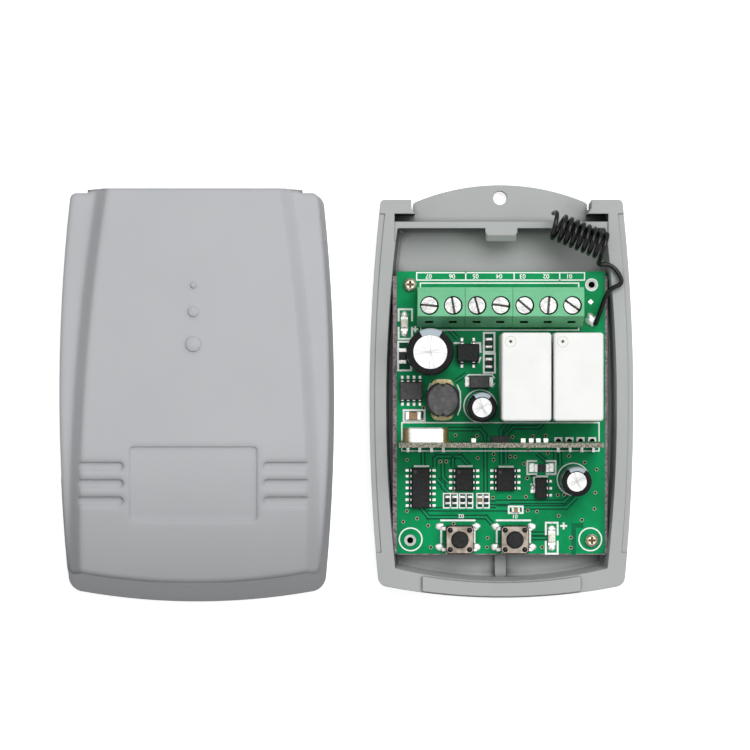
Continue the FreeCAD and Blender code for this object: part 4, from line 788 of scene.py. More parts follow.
def figures(text: str, centre: Place, height: float, z: float) -> Shape:
    """Make printed numerals, turned half round as on the board, in millimetres.

    The built-in font's outline is made a mesh, centred, scaled to the height and
    turned.

    Args:
        text: the numerals.
        centre: where their middle lies, x and y.
        height: height of the numerals.
        z: z of their undersides.

    Returns:
        The points and the faces.
    """
    curve = bpy.data.curves.new("numeral", "FONT")
    curve.body = text
    curve.extrude = FIGURE_DEPTH
    curve.offset = FIGURE_WEIGHT
    holder = bpy.data.objects.new("numeral", curve)
    mesh = bpy.data.meshes.new_from_object(holder)
    points = np.empty(len(mesh.vertices) * 3)
    mesh.vertices.foreach_get("co", points)
    points = points.reshape(-1, 3)
    faces = [list(polygon.vertices) for polygon in mesh.polygons]
    low, high = points.min(0), points.max(0)
    points = (points - (low + high) / 2) * (-height / (high[1] - low[1]))
    points[:, 2] *= -1
    points += np.array([centre[0], centre[1], z - points[:, 2].min()])
    bpy.data.objects.remove(holder)
    bpy.data.curves.remove(curve)
    bpy.data.meshes.remove(mesh)
    return points, faces


def loose_boxes(node: str) -> tuple[np.ndarray, np.ndarray]:
    """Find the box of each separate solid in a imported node, in millimetres.

    Vertices at one place are one point, and each triangle gives its points the
    lowest label among them until nothing changes.

    Args:
        node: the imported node.

    Returns:
        The low corners and the high corners of the boxes.
    """
    mesh = bpy.data.objects[node].data
    corners = np.empty(len(mesh.vertices) * 3)
    mesh.vertices.foreach_get("co", corners)
    spots, index = np.unique((corners.reshape(-1, 3) / MM).round(WELD_DIGITS), axis=0, return_inverse=True)
    mesh.calc_loop_triangles()
    triangles = np.empty(len(mesh.loop_triangles) * 3, int)
    mesh.loop_triangles.foreach_get("vertices", triangles)
    triangles = index.ravel()[triangles].reshape(-1, 3)
    labels = np.arange(len(spots))
    before = None
    while before is None or (labels != before).any():
        before = labels.copy()
        np.minimum.at(labels, triangles, labels[triangles].min(1)[:, None])
    kinds = np.unique(labels)
    lows = np.array([spots[labels == kind].min(0) for kind in kinds])
    highs = np.array([spots[labels == kind].max(0) for kind in kinds])
    return lows, highs


def dress(finish: Finish, *nodes: str) -> None:
    """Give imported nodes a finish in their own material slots.

    Args:
        finish: the finish.
        nodes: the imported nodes.
    """
    for node in nodes:
        for slot in bpy.data.objects[node].material_slots:
            slot.material = finish.material()
        LOG.info("dressed %s in %s", node, finish.name)


def add_piece(name: str, shape: Shape, finish: Finish,
              body: str = RECEIVER, replaces: Sequence[str] = (), edge: float = 0.0) -> bpy.types.Object:
    """Make one piece from points in millimetres, finished and riding on a body.

    Args:
        name: the piece's name.
        shape: its points and faces.
        finish: its finish.
        body: the body that it rides on.
        replaces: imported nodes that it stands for.
        edge: width of the bevel on its edges, in millimetres.

    Returns:
        The new object.
    """
    points, faces = shape
    mesh = bpy.data.meshes.new(name)
    mesh.from_pydata((points.reshape(-1, 3) * MM).tolist(), [], faces)
    mesh.polygons.foreach_set("use_smooth", np.ones(len(mesh.polygons), bool))
    mesh.set_sharp_from_angle(angle=math.radians(SHARP_DEG))
    mesh.materials.append(finish.material())
    piece = bpy.data.objects.new(name, mesh)
    bpy.context.scene.collection.objects.link(piece)
    if edge:
        bevel = piece.modifiers.new("edges", "BEVEL")
        bevel.width = edge * MM
        bevel.segments = 2
        bevel.limit_method = "ANGLE"
    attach(piece, body)
    if replaces:
        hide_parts(*replaces)
    LOG.info("made %s, %d faces", name, len(faces))
    return piece


@dataclass
class Studio:
    """Camera, lamps and floor."""

    camera_mm: Spot = (-27.2, 5.0, 700.0)
    lens_mm: float = 154.0
    sensor_mm: float = 36.0
    clip_m: float = 10.0
    floor_size_mm: float = 3000.0
    horizon_level: float = 0.3
    zenith_level: float = 0.5
    floor_colour: str = "C0C0C0"
    floor_roughness: float = 0.9
    floor_lift: float = 0.78
    lamps: tuple[tuple[str, Spot, float, float], ...] = (
        ("key_softbox", (180.0, 430.0, 850.0), 620.0, 6.3),
        ("fill_softbox", (520.0, 20.0, 700.0), 300.0, 1.1),
    )

    def build(self) -> None:
        """Place the camera over the parts, and light them from all round and from two sides."""
        scene = bpy.context.scene
        scene.view_settings.view_transform = "Standard"
        lens = bpy.data.cameras.new("camera")
        lens.lens = self.lens_mm
        lens.sensor_width = self.sensor_mm
        lens.clip_end = self.clip_m
        camera = bpy.data.objects.new("camera", lens)
        camera.location = Vector(self.camera_mm) * MM
        scene.collection.objects.link(camera)
        scene.camera = camera
        self.add_world(scene)
        self.add_floor(scene)
        for name, place, size, power in self.lamps:
            self.add_lamp(name, place, size, power)

    def add_world(self, scene: bpy.types.Scene) -> None:
        """Make a white surround for the camera and in reflections, dimmer as a source of light.

        Args:
            scene: the scene that it surrounds.
        """
        world = bpy.data.worlds.new("studio")
        world.use_nodes = True
        tree = world.node_tree
        path = add_node(tree, "LightPath")
        seen = add_node(tree, "Math", {0: path["Is Camera Ray"], 1: path["Is Transmission Ray"]},
                        operation="MAXIMUM")
        mirrored = add_node(tree, "Math", {0: seen[0], 1: path["Is Glossy Ray"]}, operation="MAXIMUM")
        rise = add_node(tree, "SeparateXYZ", {0: add_node(tree, "TexCoord")["Generated"]})[2]
        sky = add_node(tree, "MapRange", {0: rise, 3: self.horizon_level, 4: self.zenith_level})
        level = add_node(tree, "MapRange", {0: mirrored[0], 3: sky[0], 4: 1.0})
        tree.links.new(level[0], tree.nodes["Background"].inputs["Strength"])
        tree.nodes["Background"].inputs["Color"].default_value = (1.0, 1.0, 1.0, 1.0)
        scene.world = world

    def add_floor(self, scene: bpy.types.Scene) -> None:
        """Lay a pale floor that the camera sees as white and that still takes soft shadows.

        Args:
            scene: the scene that it lies in.
        """
        half = self.floor_size_mm / 2 * MM
        mesh = bpy.data.meshes.new("floor")
        mesh.from_pydata([(-half, -half, 0), (half, -half, 0), (half, half, 0), (-half, half, 0)], [],
                         [(0, 1, 2, 3)])
        material = bpy.data.materials.new("matt_paper")
        material.use_nodes = True
        tree = material.node_tree
        shader = tree.nodes["Principled BSDF"]
        shader.inputs["Roughness"].default_value = self.floor_roughness
        shader.inputs["Base Color"].default_value = linear(self.floor_colour)
        lift = add_node(tree, "Math", {0: add_node(tree, "LightPath")["Is Camera Ray"],
                                       1: self.floor_lift}, operation="MULTIPLY")
        shader.inputs["Emission Color"].default_value = (1.0, 1.0, 1.0, 1.0)
        tree.links.new(lift[0], shader.inputs["Emission Strength"])
        mesh.materials.append(material)
        floor = bpy.data.objects.new("floor", mesh)
        scene.collection.objects.link(floor)

    def add_lamp(self, name: str, place: Spot, size: float, power: float) -> None:
        """Hang one square softbox that faces the parts.

        Args:
            name: the lamp's name.
            place: where it hangs, in millimetres.
            size: length of its side.
            power: its power in watts.
        """
        light = bpy.data.lights.new(name, "AREA")
        light.energy = power
        light.size = size * MM
        lamp = bpy.data.objects.new(name, light)
        lamp.location = Vector(place) * MM
        aim = Vector((self.camera_mm[0] * MM, 0.0, 0.0)) - lamp.location
        lamp.rotation_euler = aim.to_track_quat("-Z", "Y").to_euler()
        bpy.context.scene.collection.objects.link(lamp)


@dataclass
class Antenna:
    """The black wire from its solder joint to its coil, as one free cord."""

    wire_r: float = 0.475
    start: Spot = (20.3, 15.9, 7.75)
    lead: tuple[Spot, ...] = (
        (21.2, 18.3, 8.9), (22.0, 21.2, 10.5), (23.3, 23.6, 11.2),
        (26.2, 24.6, 11.3), (24.9, 27.3, 11.2), (23.0, 28.9, 11.2),
    )
    run_in: float = 2.9
    tail: float = 0.95
    axis_right: Spot = (22.0, 32.45, 13.155)
    direction_deg: float = 157.0
    mean_r: float = 2.78
    pitch: float = 1.37
    loose_extra: float = 1.0
    turns: float = 8.5
    start_deg: float = 20.0
    tip: float = 1.2
    points_a_turn: int = 16
    length: float = 171.5
    solder: Spot = (19.5, 16.95, BOARD_TOP)
    solder_r: float = 1.4
    solder_height: float = 1.15

    def helix(self) -> np.ndarray:
        """Work out the coil's points.

        At angle a from the start the point is the axis point, plus the climb along the axis,
        less the cosine of the phase sideways and plus its sine upwards, times the mean radius.
        The climb is the pitch times the turns, plus the extra times the square of the last turn.

        Returns:
            The points, one row each, in millimetres.
        """
        count = int(self.turns * self.points_a_turn)
        turn = np.arange(count + 1) / self.points_a_turn
        phase = math.radians(self.start_deg) + 2 * math.pi * turn
        climb = self.pitch * turn + self.loose_extra * np.maximum(0, turn - self.turns + 1) ** 2
        aim = math.radians(self.direction_deg)
        along = np.array([math.cos(aim), math.sin(aim), 0])
        across = np.array([math.sin(aim), -math.cos(aim), 0])
        up = np.array([0, 0, 1])
        return (np.array(self.axis_right) + climb[:, None] * along
                - (np.cos(phase) * self.mean_r)[:, None] * across
                + (np.sin(phase) * self.mean_r)[:, None] * up)

    def build(self) -> None:
        """Make the wire a NURBS cord and lay the star of solder over its foot."""
        coil = self.helix()
        into = coil[0] - coil[1]
        into /= np.linalg.norm(into)
        out = coil[-1] - coil[-2]
        out /= np.linalg.norm(out)
        route = np.vstack([[self.start, *self.lead], coil[0] + into * self.run_in,
                           coil[0] + into * self.tail, coil, coil[-1] + out * self.tip])
        curve = bpy.data.curves.new("antenna_wire", "CURVE")
        curve.dimensions = "3D"
        curve.bevel_depth = self.wire_r * MM
        curve.bevel_resolution = 5
        curve.resolution_u = 4
        curve.use_fill_caps = True
        spline = curve.splines.new("NURBS")
        spline.points.add(len(route) - 1)
        spline.points.foreach_set("co", np.column_stack([route * MM, np.ones(len(route))]).ravel())
        spline.order_u = 3
        spline.use_endpoint_u = True
        spline.use_smooth = True
        curve.materials.append(WIRE_PVC.material())
        wire = bpy.data.objects.new("antenna_wire", curve)
        bpy.context.scene.collection.objects.link(wire)
        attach(wire, RECEIVER)
        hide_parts("antenna_lead", "antenna_coil")
        dress(TIN, "antenna_solder")
        star = turned(dome_profile(self.solder_r, self.solder_height, rows=7), [self.solder],
                      columns=40, wobble=0.13, waves=(4, 3, 7), seed=3)
        add_piece("antenna_solder_star", star, TIN, replaces=["antenna_solder"])


@dataclass
class Case:
    """The two moulded halves."""

    def build(self) -> None:
        """Dress the cover and the tray."""
        dress(CASE_ABS, "cover")
        dress(TRAY_ABS, "base_tray")


@dataclass
class BoardPrint:
    """The circuit board's mask, traces, vias, pads and white print."""

    line_width: float = 0.4
    fine_width: float = 0.27
    ink_low: float = BOARD_TOP - INK_SINK
    ink_high: float = BOARD_TOP + 0.024
    trace_high: float = BOARD_TOP + 0.012
    gap_high: float = BOARD_TOP + 0.006
    gap_width: float = 1.05
    trace_width: float = 0.4
    poles: int = 7
    pole_pitch: float = 5.08
    first_pole: float = -15.62
    strip: Quad = (-18.2, 25.5, 18.05, 27.1)
    dividers: tuple[float, ...] = (-7.6, 2.85, 12.7)
    numeral_height: float = 1.0
    button_numerals: tuple[tuple[str, Place], ...] = (("02", (-8.6, -25.5)), ("01", (3.1, -25.55)))
    button_numeral_height: float = 0.9
    traces: tuple[Line, ...] = (
        ((-11, -6.7), (-4.5, -6.7), (-3.4, -8), (-3.3, -19.8)),
        ((-16.9, -11.6), (-16.8, -14.2)),
        ((-14.3, -14.4), (-14.3, -13.1), (-13.8, -12.6), (-8.7, -12.6), (-7.2, -14.2)),
        ((-12.6, -13.8), (-12.5, -17), (-11.7, -17.9)),
        ((-13.4, -17.9), (-12.5, -18.8), (-12.5, -19.2), (-11.6, -20.1), (-10.2, -20.7)),
        ((-10.4, -12.9), (-10.4, -14.4)),
        ((0.1, -13.8), (0, -6.9), (1, -5.8)),
        ((1.1, -13.6), (1, -8), (2.6, -6.3), (8, -6.3), (8.8, -5.6)),
        ((8.2, -12.3), (9.7, -13.6)),
        ((11.8, -11.4), (11.8, -13.4)),
        ((12.7, -11.4), (12.8, -14)),
        ((-17.1, -23.9), (-15.6, -25.7), (-3.2, -25.7), (-1.9, -27.2)),
        ((-15.4, -24), (1.1, -24)),
        ((-1.9, -22.6), (1.1, -22.6)),
        ((-0.4, -22.4), (13.6, -22.4), (15, -21.1)),
        ((-0.4, -23.6), (14.1, -23.6), (16, -21.7)),
        ((7.1, -29.3), (9.7, -29.3)),
        ((7.1, -30.2), (9.7, -30.2)),
        ((-9.4, 3.9), (-7.9, 4.9)),
        ((-11.3, 14.9), (-9.6, 13.2)),
    )
    pour_gaps: tuple[Line, ...] = (((15.7, -33.4), (15.7, -27.5), (17.3, -27.5)),)
    pour_gap_width: float = 1.0
    vias: tuple[Place, ...] = (
        (-20.3, -13.3), (-13.1, -13.7), (-11.8, -13.7), (-9.8, -8.0), (-5.2, -8.1), (-5.0, -12.9),
        (-1.6, -12.1), (-1.6, -13.3), (-8.9, -11.3), (-10.2, -20.5), (-1.7, -21.5), (-16.8, -4.7),
        (2.5, -8.4), (6.9, -8.2), (9.7, -8.1), (5.9, -11.2), (10.1, -11.9), (2.0, -12.6), (3.1, -12.7),
        (14.7, -12.5), (18.1, -13.9), (5.0, -14.2), (5.7, -17.3), (20.7, -15.4), (20.4, -20.4),
        (1.8, -21.4), (5.4, -21.3), (12.3, -20.9), (13.6, -20.9), (-20.3, -24.4), (-18.1, -26.0),
        (-21.1, -26.7), (-15.7, -27.5), (-15.1, -32.2), (-10.2, -27.1), (-2.9, -30.2), (-3.0, -32.2),
        (5.8, -24.3), (7.8, -24.5), (12.5, -25.4), (17.5, -26.3), (20.2, -23.9), (15.1, -30.1),
        (15.1, -32.3), (8.9, -32.2), (-16.7, -2.1),
    )
    via_r: float = 0.37
    via_hole_r: float = 0.26
    boss_light_thickness: float = 0.02
    flat_pad_top: float = BOARD_TOP + 0.1
    spare_pads: tuple[float, ...] = (12.4, 14.8, 17.2, 19.7)
    spare_pad_y: float = -9.3
    spare_pad: float = 1.75
    spare_pad_top: float = BOARD_TOP + 0.05
    spare_hole_r: float = 0.58
    spare_hole_height: float = 0.065
    switch_frames: tuple[Place, ...] = ((-12.9, -5.7), (-0.9, 6.3))
    frame_rows: Quad = (-26.4, -28.7, -31.1, -33.4)
    frame_cut: float = 1.2
    bold_lines: tuple[Line, ...] = (
        ((-20.0, 19.2), (-22.1, 19.2), (-22.1, 16.8)), ((-22.1, 15.2), (-22.1, 12.8), (-19.2, 12.8)),
        ((-19.2, 12.8), (-19.2, 15.2)), ((-19.2, 16.8), (-19.2, 19.2), (-20.0, 19.2)),
        ((-18.95, 14.9), (-18.05, 14.9)), ((-18.5, 14.45), (-18.5, 15.35)),
        oblong(-22.2, 12.2, -19.4, 6.0),
        ((-10, 11.9), (-8.2, 11.9)), ((-6.3, 11.9), (-4.5, 11.9), (-4.4, 10)),
        ((-4.4, 8.7), (-4.8, 7.8)),
        oblong(-3.7, 14.1, -1.4, 10.0), oblong(-3.7, 9.6, -1.3, 5.5),
        oblong(-21.0, -2.6, -16.5, -4.9),
        ((-18.6, -14.7), (-15.7, -14.7)), ((-9.1, -14.7), (-6.3, -14.7)), ((-0.3, -14.8), (2.6, -14.8)),
        ((7.6, -13.6), (5.7, -13.6), (5.7, -16.4), (7.6, -16.4)),
        ((9.9, -13.6), (11.8, -13.6), (11.8, -16.4), (9.9, -16.4)),
        ((7.2, -18.3), (7.2, -16.9), (10, -16.9)),
        oblong(1.7, -23.4, 4.7, -24.8),
        ((10.8, -26.9), (9.7, -26.9), (9.7, -29.4)), ((9.7, -31.0), (9.7, -33.6), (12.25, -33.6)),
        ((12.25, -33.6), (12.25, -31.0)), ((12.25, -29.4), (12.25, -26.9), (11.3, -26.9)),
        ((13.0, -27.6), (14.1, -27.6)), ((13.55, -27.05), (13.55, -28.15)),
    )
    open_holes: tuple[Place, ...] = ((19.6, 24.5), (-19.6, -30.7))
    boss_light_ring: Place = (0.68, 1.25)
    open_hole_print_ring: Place = (1.2, 1.38)
    flat_pads: tuple[Quad, ...] = (
        (6.1, -15.95, 7.3, -14.05), (10.25, -15.95, 11.4, -14.05),
    )
    dark_patches: tuple[Quad, ...] = (
        (-12.4, -23.7, -9.4, -20.6), (-8.95, -23.7, -6.1, -20.6), (-5.2, -23.7, -2.55, -20.6),
        (-3.7, 10.0, -1.4, 14.1), (-3.7, 5.5, -1.3, 9.6), (1.7, -24.8, 4.7, -23.4),
        (-21.0, -4.9, -16.5, -2.6), (-22.2, 6.0, -19.4, 12.2),
    )
    cut_widths: Spot = (0.85, 0.5, 0.22)
    cut_from_top: float = 1.0
    mount_rings: tuple[Place, ...] = ((-19.5, -30.5), (19.3, -30.5))
    mount_ring: Place = (2.31, 2.59)
    can_rings: tuple[Spot, ...] = ((-4.5, -1.7, 3.5), (15.6, -17.5, 3.45))
    can_ring_half: float = 0.13
    edge_heights: Place = (BOARD_TOP - 1.55, BOARD_TOP - 0.05)
    diamond: Place = (19.4, 20.8)
    diamond_half: float = 0.62
    thin_lines: tuple[Line, ...] = (
        ((-17.4, 23.8), (-17.4, 24.85), (16.8, 24.85), (16.8, 23.8)),
        ((-17.3, 15.6), (-17.3, 14.7), (16.8, 14.7), (16.8, 15.6)),
        oblong(-21.4, -5.3, 21.2, -11.4),
        ((-7.0, 5.05), (-1.9, 5.05)), ((-7.7, 4.4), (-7.0, 5.05)), ((-7.7, 3.1), (-7.0, 2.45)),
        ((-1.9, 5.05), (-1.4, 4.4)), ((-1.9, 2.45), (-1.4, 3.1)),
        ((-15.8, 1.8), (-15.2, 3.1)),
        ((-9.4, 2.8), (-8.8, 1.4), (-8.7, -0.4), (-8.8, -2.2), (-9.3, -3.6)),
    )

    def lines(self) -> list[Line]:
        """Gather the bold white print, and frame each switch.

        Returns:
            Every straight line of it.
        """
        lines = list(self.bold_lines)
        top, high, low, foot = self.frame_rows
        cut = self.frame_cut
        for left, right in self.switch_frames:
            lines += [((left, top), (right, top)), ((left, high), (left, low)),
                      ((right, high), (right, low)), ((left + cut, foot), (right - cut, foot))]
        return lines

    def fine_lines(self) -> list[Line]:
        """Gather the finer white print round the strip of numerals and the chips.

        Returns:
            Every straight line of it.
        """
        left, low, right, high = self.strip
        lines = [oblong(left, high, right, low)]
        lines += [((x, low), (x, high)) for x in self.dividers]
        lines += self.thin_lines
        for left, top, right, bottom in self.dark_patches[:3]:
            middle = (left + right) / 2
            lines += [oblong(left, top, right, bottom), ((middle, top), (middle, bottom))]
        return lines

    def numerals(self) -> list[Shape]:
        """Print the plain numbers by the terminals and the two buttons.

        Returns:
            The shape of each number.
        """
        middle = (self.strip[1] + self.strip[3]) / 2
        shapes = [figures(f"{self.poles - i:02d}", (self.first_pole + i * self.pole_pitch, middle),
                          self.numeral_height, self.ink_low) for i in range(self.poles)]
        return shapes + [figures(text, place, self.button_numeral_height, self.ink_low)
                         for text, place in self.button_numerals]

    def build(self) -> None:
        """Dress the board and lay its traces, vias, pads and print."""
        dress(BOARD_MASK, "circuit_board")
        add_piece("trace_gaps", ribbons(self.traces, self.gap_width, self.ink_low, self.gap_high),
                  GAP_MASK)
        add_piece("pour_gaps", ribbons(self.pour_gaps, self.pour_gap_width, self.ink_low, self.gap_high),
                  BARE_MASK)
        joined = [lengthened(line, self.gap_width / 2) for line in self.traces]
        add_piece("traces", ribbons(joined, self.trace_width, self.ink_low, self.trace_high),
                  TRACE_MASK)
        add_piece("white_print", merged(ribbons(self.lines(), self.line_width, self.ink_low, self.ink_high),
                                        ribbons(self.fine_lines(), self.fine_width, self.ink_low,
                                                self.ink_high), *self.rings(), *self.numerals()),
                  PRINT_INK)
        floor = self.ink_low
        via_tops = at_height(self.vias, floor)
        add_piece("via_rings", flat_rings(self.via_hole_r, self.via_r, FILM, via_tops, columns=16),
                  VIA_RING)
        # Painted shade: a dark disc in each via's hole.
        add_piece("via_holes", discs(self.via_hole_r, FILM / 2, via_tops, columns=12), DARK_HOLE)
        self.add_spare_pads()
        add_piece("diamond_pad", discs(self.diamond_half, FILM, [(*self.diamond, floor)], columns=4),
                  TIN)
        # Painted light: a pale grey ring in each open hole, for the lit boss top below.
        add_piece("hole_eyelets", flat_rings(*self.boss_light_ring, self.boss_light_thickness,
                                             at_height(self.open_holes, floor)), BOSS_LIGHT)
        add_piece("bare_patches", slabs(self.dark_patches, floor, self.gap_high), GAP_MASK)
        add_piece("flat_pads", slabs(self.flat_pads, floor, self.flat_pad_top), TIN, edge=0.05)
        low, high = box_of("circuit_board")
        left, right, front = self.cut_widths
        top = high[1] - self.cut_from_top
        edges = ((low[0] - left, low[1], low[0] + SINK, top),
                 (high[0] - SINK, low[1], high[0] + right, top),
                 (low[0], low[1] - front, high[0], low[1] + SINK))
        add_piece("broken_edges", slabs(edges, *self.edge_heights), CUT_FIBRE)

    def rings(self) -> list[Shape]:
        """Print rings round the low mounting holes, the upper open hole and the small capacitors.

        Returns:
            The shapes of the rings.
        """
        thick = self.ink_high - self.ink_low
        plans = [(*self.mount_ring, self.mount_rings), (*self.open_hole_print_ring, self.open_holes[:1])]
        plans += [(radius - self.can_ring_half, radius + self.can_ring_half, [(x, y)])
                  for x, y, radius in self.can_rings]
        return [flat_rings(inner, outer, thick, at_height(places, self.ink_low), columns=48)
                for inner, outer, places in plans]

    def add_spare_pads(self) -> None:
        """Lay the four square tinned pads beside the radio module, with painted shade in their open holes.
        """
        half = self.spare_pad / 2
        plans = [(x - half, self.spare_pad_y - half, x + half, self.spare_pad_y + half)
                 for x in self.spare_pads]
        add_piece("spare_pads", slabs(plans, self.ink_low, self.spare_pad_top), WHITE_TIN)
        tops = [(x, self.spare_pad_y, BOARD_TOP) for x in self.spare_pads]
        # Painted shade: a dark disc in each pad's open hole.
        add_piece("spare_holes", discs(self.spare_hole_r, self.spare_hole_height, tops), DARK_HOLE)


@dataclass
class Terminals:
    """Screw terminals: mouldings, screws, cages and contact bars."""

    first: Place = (-15.62, 19.8)
    pitch: float = 5.08
    slot_deg: tuple[float, ...] = (-5, -80, -75, -8, -40, 85, -35)
    slot_half: float = 1.6
    slot_width: float = 0.4
    slot_floor: float = BOARD_TOP + 9.1
    gap_ring: Place = (1.72, 2.0)
    gap_shift: Place = (-0.04, 0.04)
    gap_ring_z: float = BOARD_TOP + 9.62
    rear_slot: Spot = (1.72, 0.43, 0.04)
    rear_slot_at: Place = (16.35, BOARD_TOP + 4.85)

    def build(self) -> None:
        """Dress every piece of the terminals, and paint shade into the slots and into the gaps round the
        heads.
        """
        dress(TERMINAL_PA, "terminal_block_left", "terminal_block_middle", "terminal_block_right")
        dress(TIN, "terminal_contacts")
        x, y = self.first
        for number, degrees in enumerate(self.slot_deg, 1):
            dress(NICKEL, f"terminal_screw_{number}")
            dress(BRASS, f"terminal_clamp_{number}")
            dx = self.slot_half * math.cos(math.radians(degrees))
            dy = self.slot_half * math.sin(math.radians(degrees))
            strip = ribbons([((x - dx, y - dy), (x + dx, y + dy))], self.slot_width,
                            self.slot_floor, self.slot_floor + FILM)
            # Painted shade and oxide: a grey strip on the floor of each screw's slot.
            add_piece(f"slot_floor_{number}", strip, SLOT_SHADE_AND_OXIDE, body=f"screw_{number}")
            x += self.pitch
        shift_x, shift_y = self.gap_shift
        heads = [(self.first[0] + i * self.pitch + shift_x, y + shift_y, self.gap_ring_z)
                 for i in range(len(self.slot_deg))]
        # Painted shade: a dark ring in the gap round each screw head, shifted a little to one side.
        add_piece("head_gaps", flat_rings(*self.gap_ring, FILM, heads, columns=36), DARK_HOLE)
        slot_y, slot_z = self.rear_slot_at
        middle = np.array([(place[0], slot_y, slot_z) for place in heads])
        reach = np.array(self.rear_slot) / 2
        # Painted shade: a dark block in each rear slot.
        add_piece("rear_slot_floors", cuboids(middle - reach, middle + reach), DARK_HOLE)


@dataclass
class BoardScrews:
    """The two screws that hold the board."""

    places: tuple[Place, ...] = ((-19.6, 24.5), (19.6, -30.7))
    recess_half: float = 0.6
    recess_width: float = 0.42
    recess_floor: float = BOARD_TOP + 0.5

    def build(self) -> None:
        """Dress the screws and paint brown shade on the floors of their crossed recesses."""
        dress(WARM_NICKEL, "board_screws")
        lines = [((x - dx, y - dy), (x + dx, y + dy)) for x, y in self.places
                 for dx, dy in ((self.recess_half, 0.0), (0.0, self.recess_half))]
        # Painted shade: a brown cross on the floor of each screw's recess.
        add_piece("recess_floors", ribbons(lines, self.recess_width, self.recess_floor,
                                           self.recess_floor + FILM), RECESS_SHADE)


@dataclass
class PowerParts:
    """Relays, capacitors and the inductor."""

    large_centre: Place = (-15.45, 9.9)
    small_centres: tuple[Place, ...] = ((-4.4, -1.9), (15.75, -17.7))
    relay_marks: tuple[Place, ...] = ((1.45, 12.05), (12.45, 12.05))
    relay_top: float = BOARD_TOP + 15.5
    large_score: Place = (3.5, 85)
    small_score: Place = (1.9, 40)
    score_width: float = 0.14
    score_height: float = 0.006
    relay_ring: Place = (1.05, 1.22)
    relay_ink: float = 0.012
    vent_r: float = 0.2
    crimp: Spot = (2.08, 2.42, 0.05)
    drum_face_r: float = 3.35
    drum_stretch: Place = (0.95, 1.03)
    notch: Place = (0.62, 0.7)
    notch_height: float = 0.035
    lug: Place = (2.65, 4.5)
    lug_from_deg: float = 16.5
    lug_points: int = 18

    def build(self) -> None:
        """Dress the parts, each sleeve with its own stripe, print a ring round each relay's vent and paint
        shade in the vent.
        """
        dress(RELAY_PBT, "relay_left", "relay_right")
        vents = at_height(self.relay_marks, self.relay_top - INK_SINK)
        add_piece("relay_marks", flat_rings(*self.relay_ring, self.relay_ink, vents), RELAY_INK)
        # Painted shade: a dark disc in each relay's vent.
        add_piece("relay_vent_holes", discs(self.vent_r, self.relay_ink, vents), DARK_HOLE)
        dress(CAN_LID, "large_capacitor_can", "small_capacitor_cans")
        dress(replace(LARGE_FILM, centres=(self.large_centre,)), "large_capacitor_sleeve")
        dress(replace(SMALL_FILM, centres=self.small_centres), "small_capacitor_sleeves")
        dress(TIN, "component_pins")
        self.add_lid_scores()
        top = box_of("small_capacitor_cans")[1][2]
        rims = at_height(self.small_centres, top - SINK)
        add_piece("small_crimp_rings", flat_rings(*self.crimp, rims), RIVET_BLACK)
        self.add_inductor()

    def add_lid_scores(self) -> None:
        """Score each lid with a cross, and press a shallow ring near its rim."""
        for can, score, centres, (reach, degrees) in (
                ("large_capacitor_can", "large_lid_score", (self.large_centre,), self.large_score),
                ("small_capacitor_cans", "small_lid_scores", self.small_centres, self.small_score)):
            top = box_of(can)[1][2]
            dx, dy = reach * math.cos(math.radians(degrees)), reach * math.sin(math.radians(degrees))
            lines = [((x - u, y - v), (x + u, y + v)) for x, y in centres for u, v in ((dx, dy), (-dy, dx))]
            add_piece(score, ribbons(lines, self.score_width, top - SINK / 2, top + self.score_height),
                      LID_SCORE)

    def add_inductor(self) -> None:
        """Dress the drum, lay its ground face and two notches on it, and its two tinned lugs.

        A lug's outline is the end of a rounded oblong: at angle t it lies at the half width times
        the root of the cosine, and at the reach times the root of the sine.
        """
        dress(DARK_FERRITE, "inductor_core")
        low, high = box_of("inductor_core")
        middle = (low + high) / 2
        add_piece("inductor_face", discs(self.drum_face_r, FILM, [(*middle[:2], high[2] - SINK)],
                                         columns=48, stretch=self.drum_stretch), FERRITE)
        rim = self.drum_face_r * self.drum_stretch[1]
        ends = np.array([[(-self.notch[0], rim), (0.0, rim - self.notch[1]), (self.notch[0], rim)]])
        notches = middle[:2] + np.concatenate([ends, -ends])
        add_piece("inductor_notches", prisms(notches, high[2], high[2] + self.notch_height), RIVET_BLACK)
        turn = np.radians(np.linspace(self.lug_from_deg, 180 - self.lug_from_deg, self.lug_points))
        end = np.stack([self.lug[0] * np.sign(np.cos(turn)) * np.abs(np.cos(turn)) ** 0.5,
                        self.lug[1] * np.sin(turn) ** 0.5], -1)
        plans = middle[:2] + np.stack([end, -end])
        floor, lug_top = (corner[2] for corner in box_of("inductor_pads"))
        add_piece("inductor_lugs", prisms(plans, floor, lug_top), FLUX_TIN,
                  replaces=["inductor_pads"], edge=0.08)


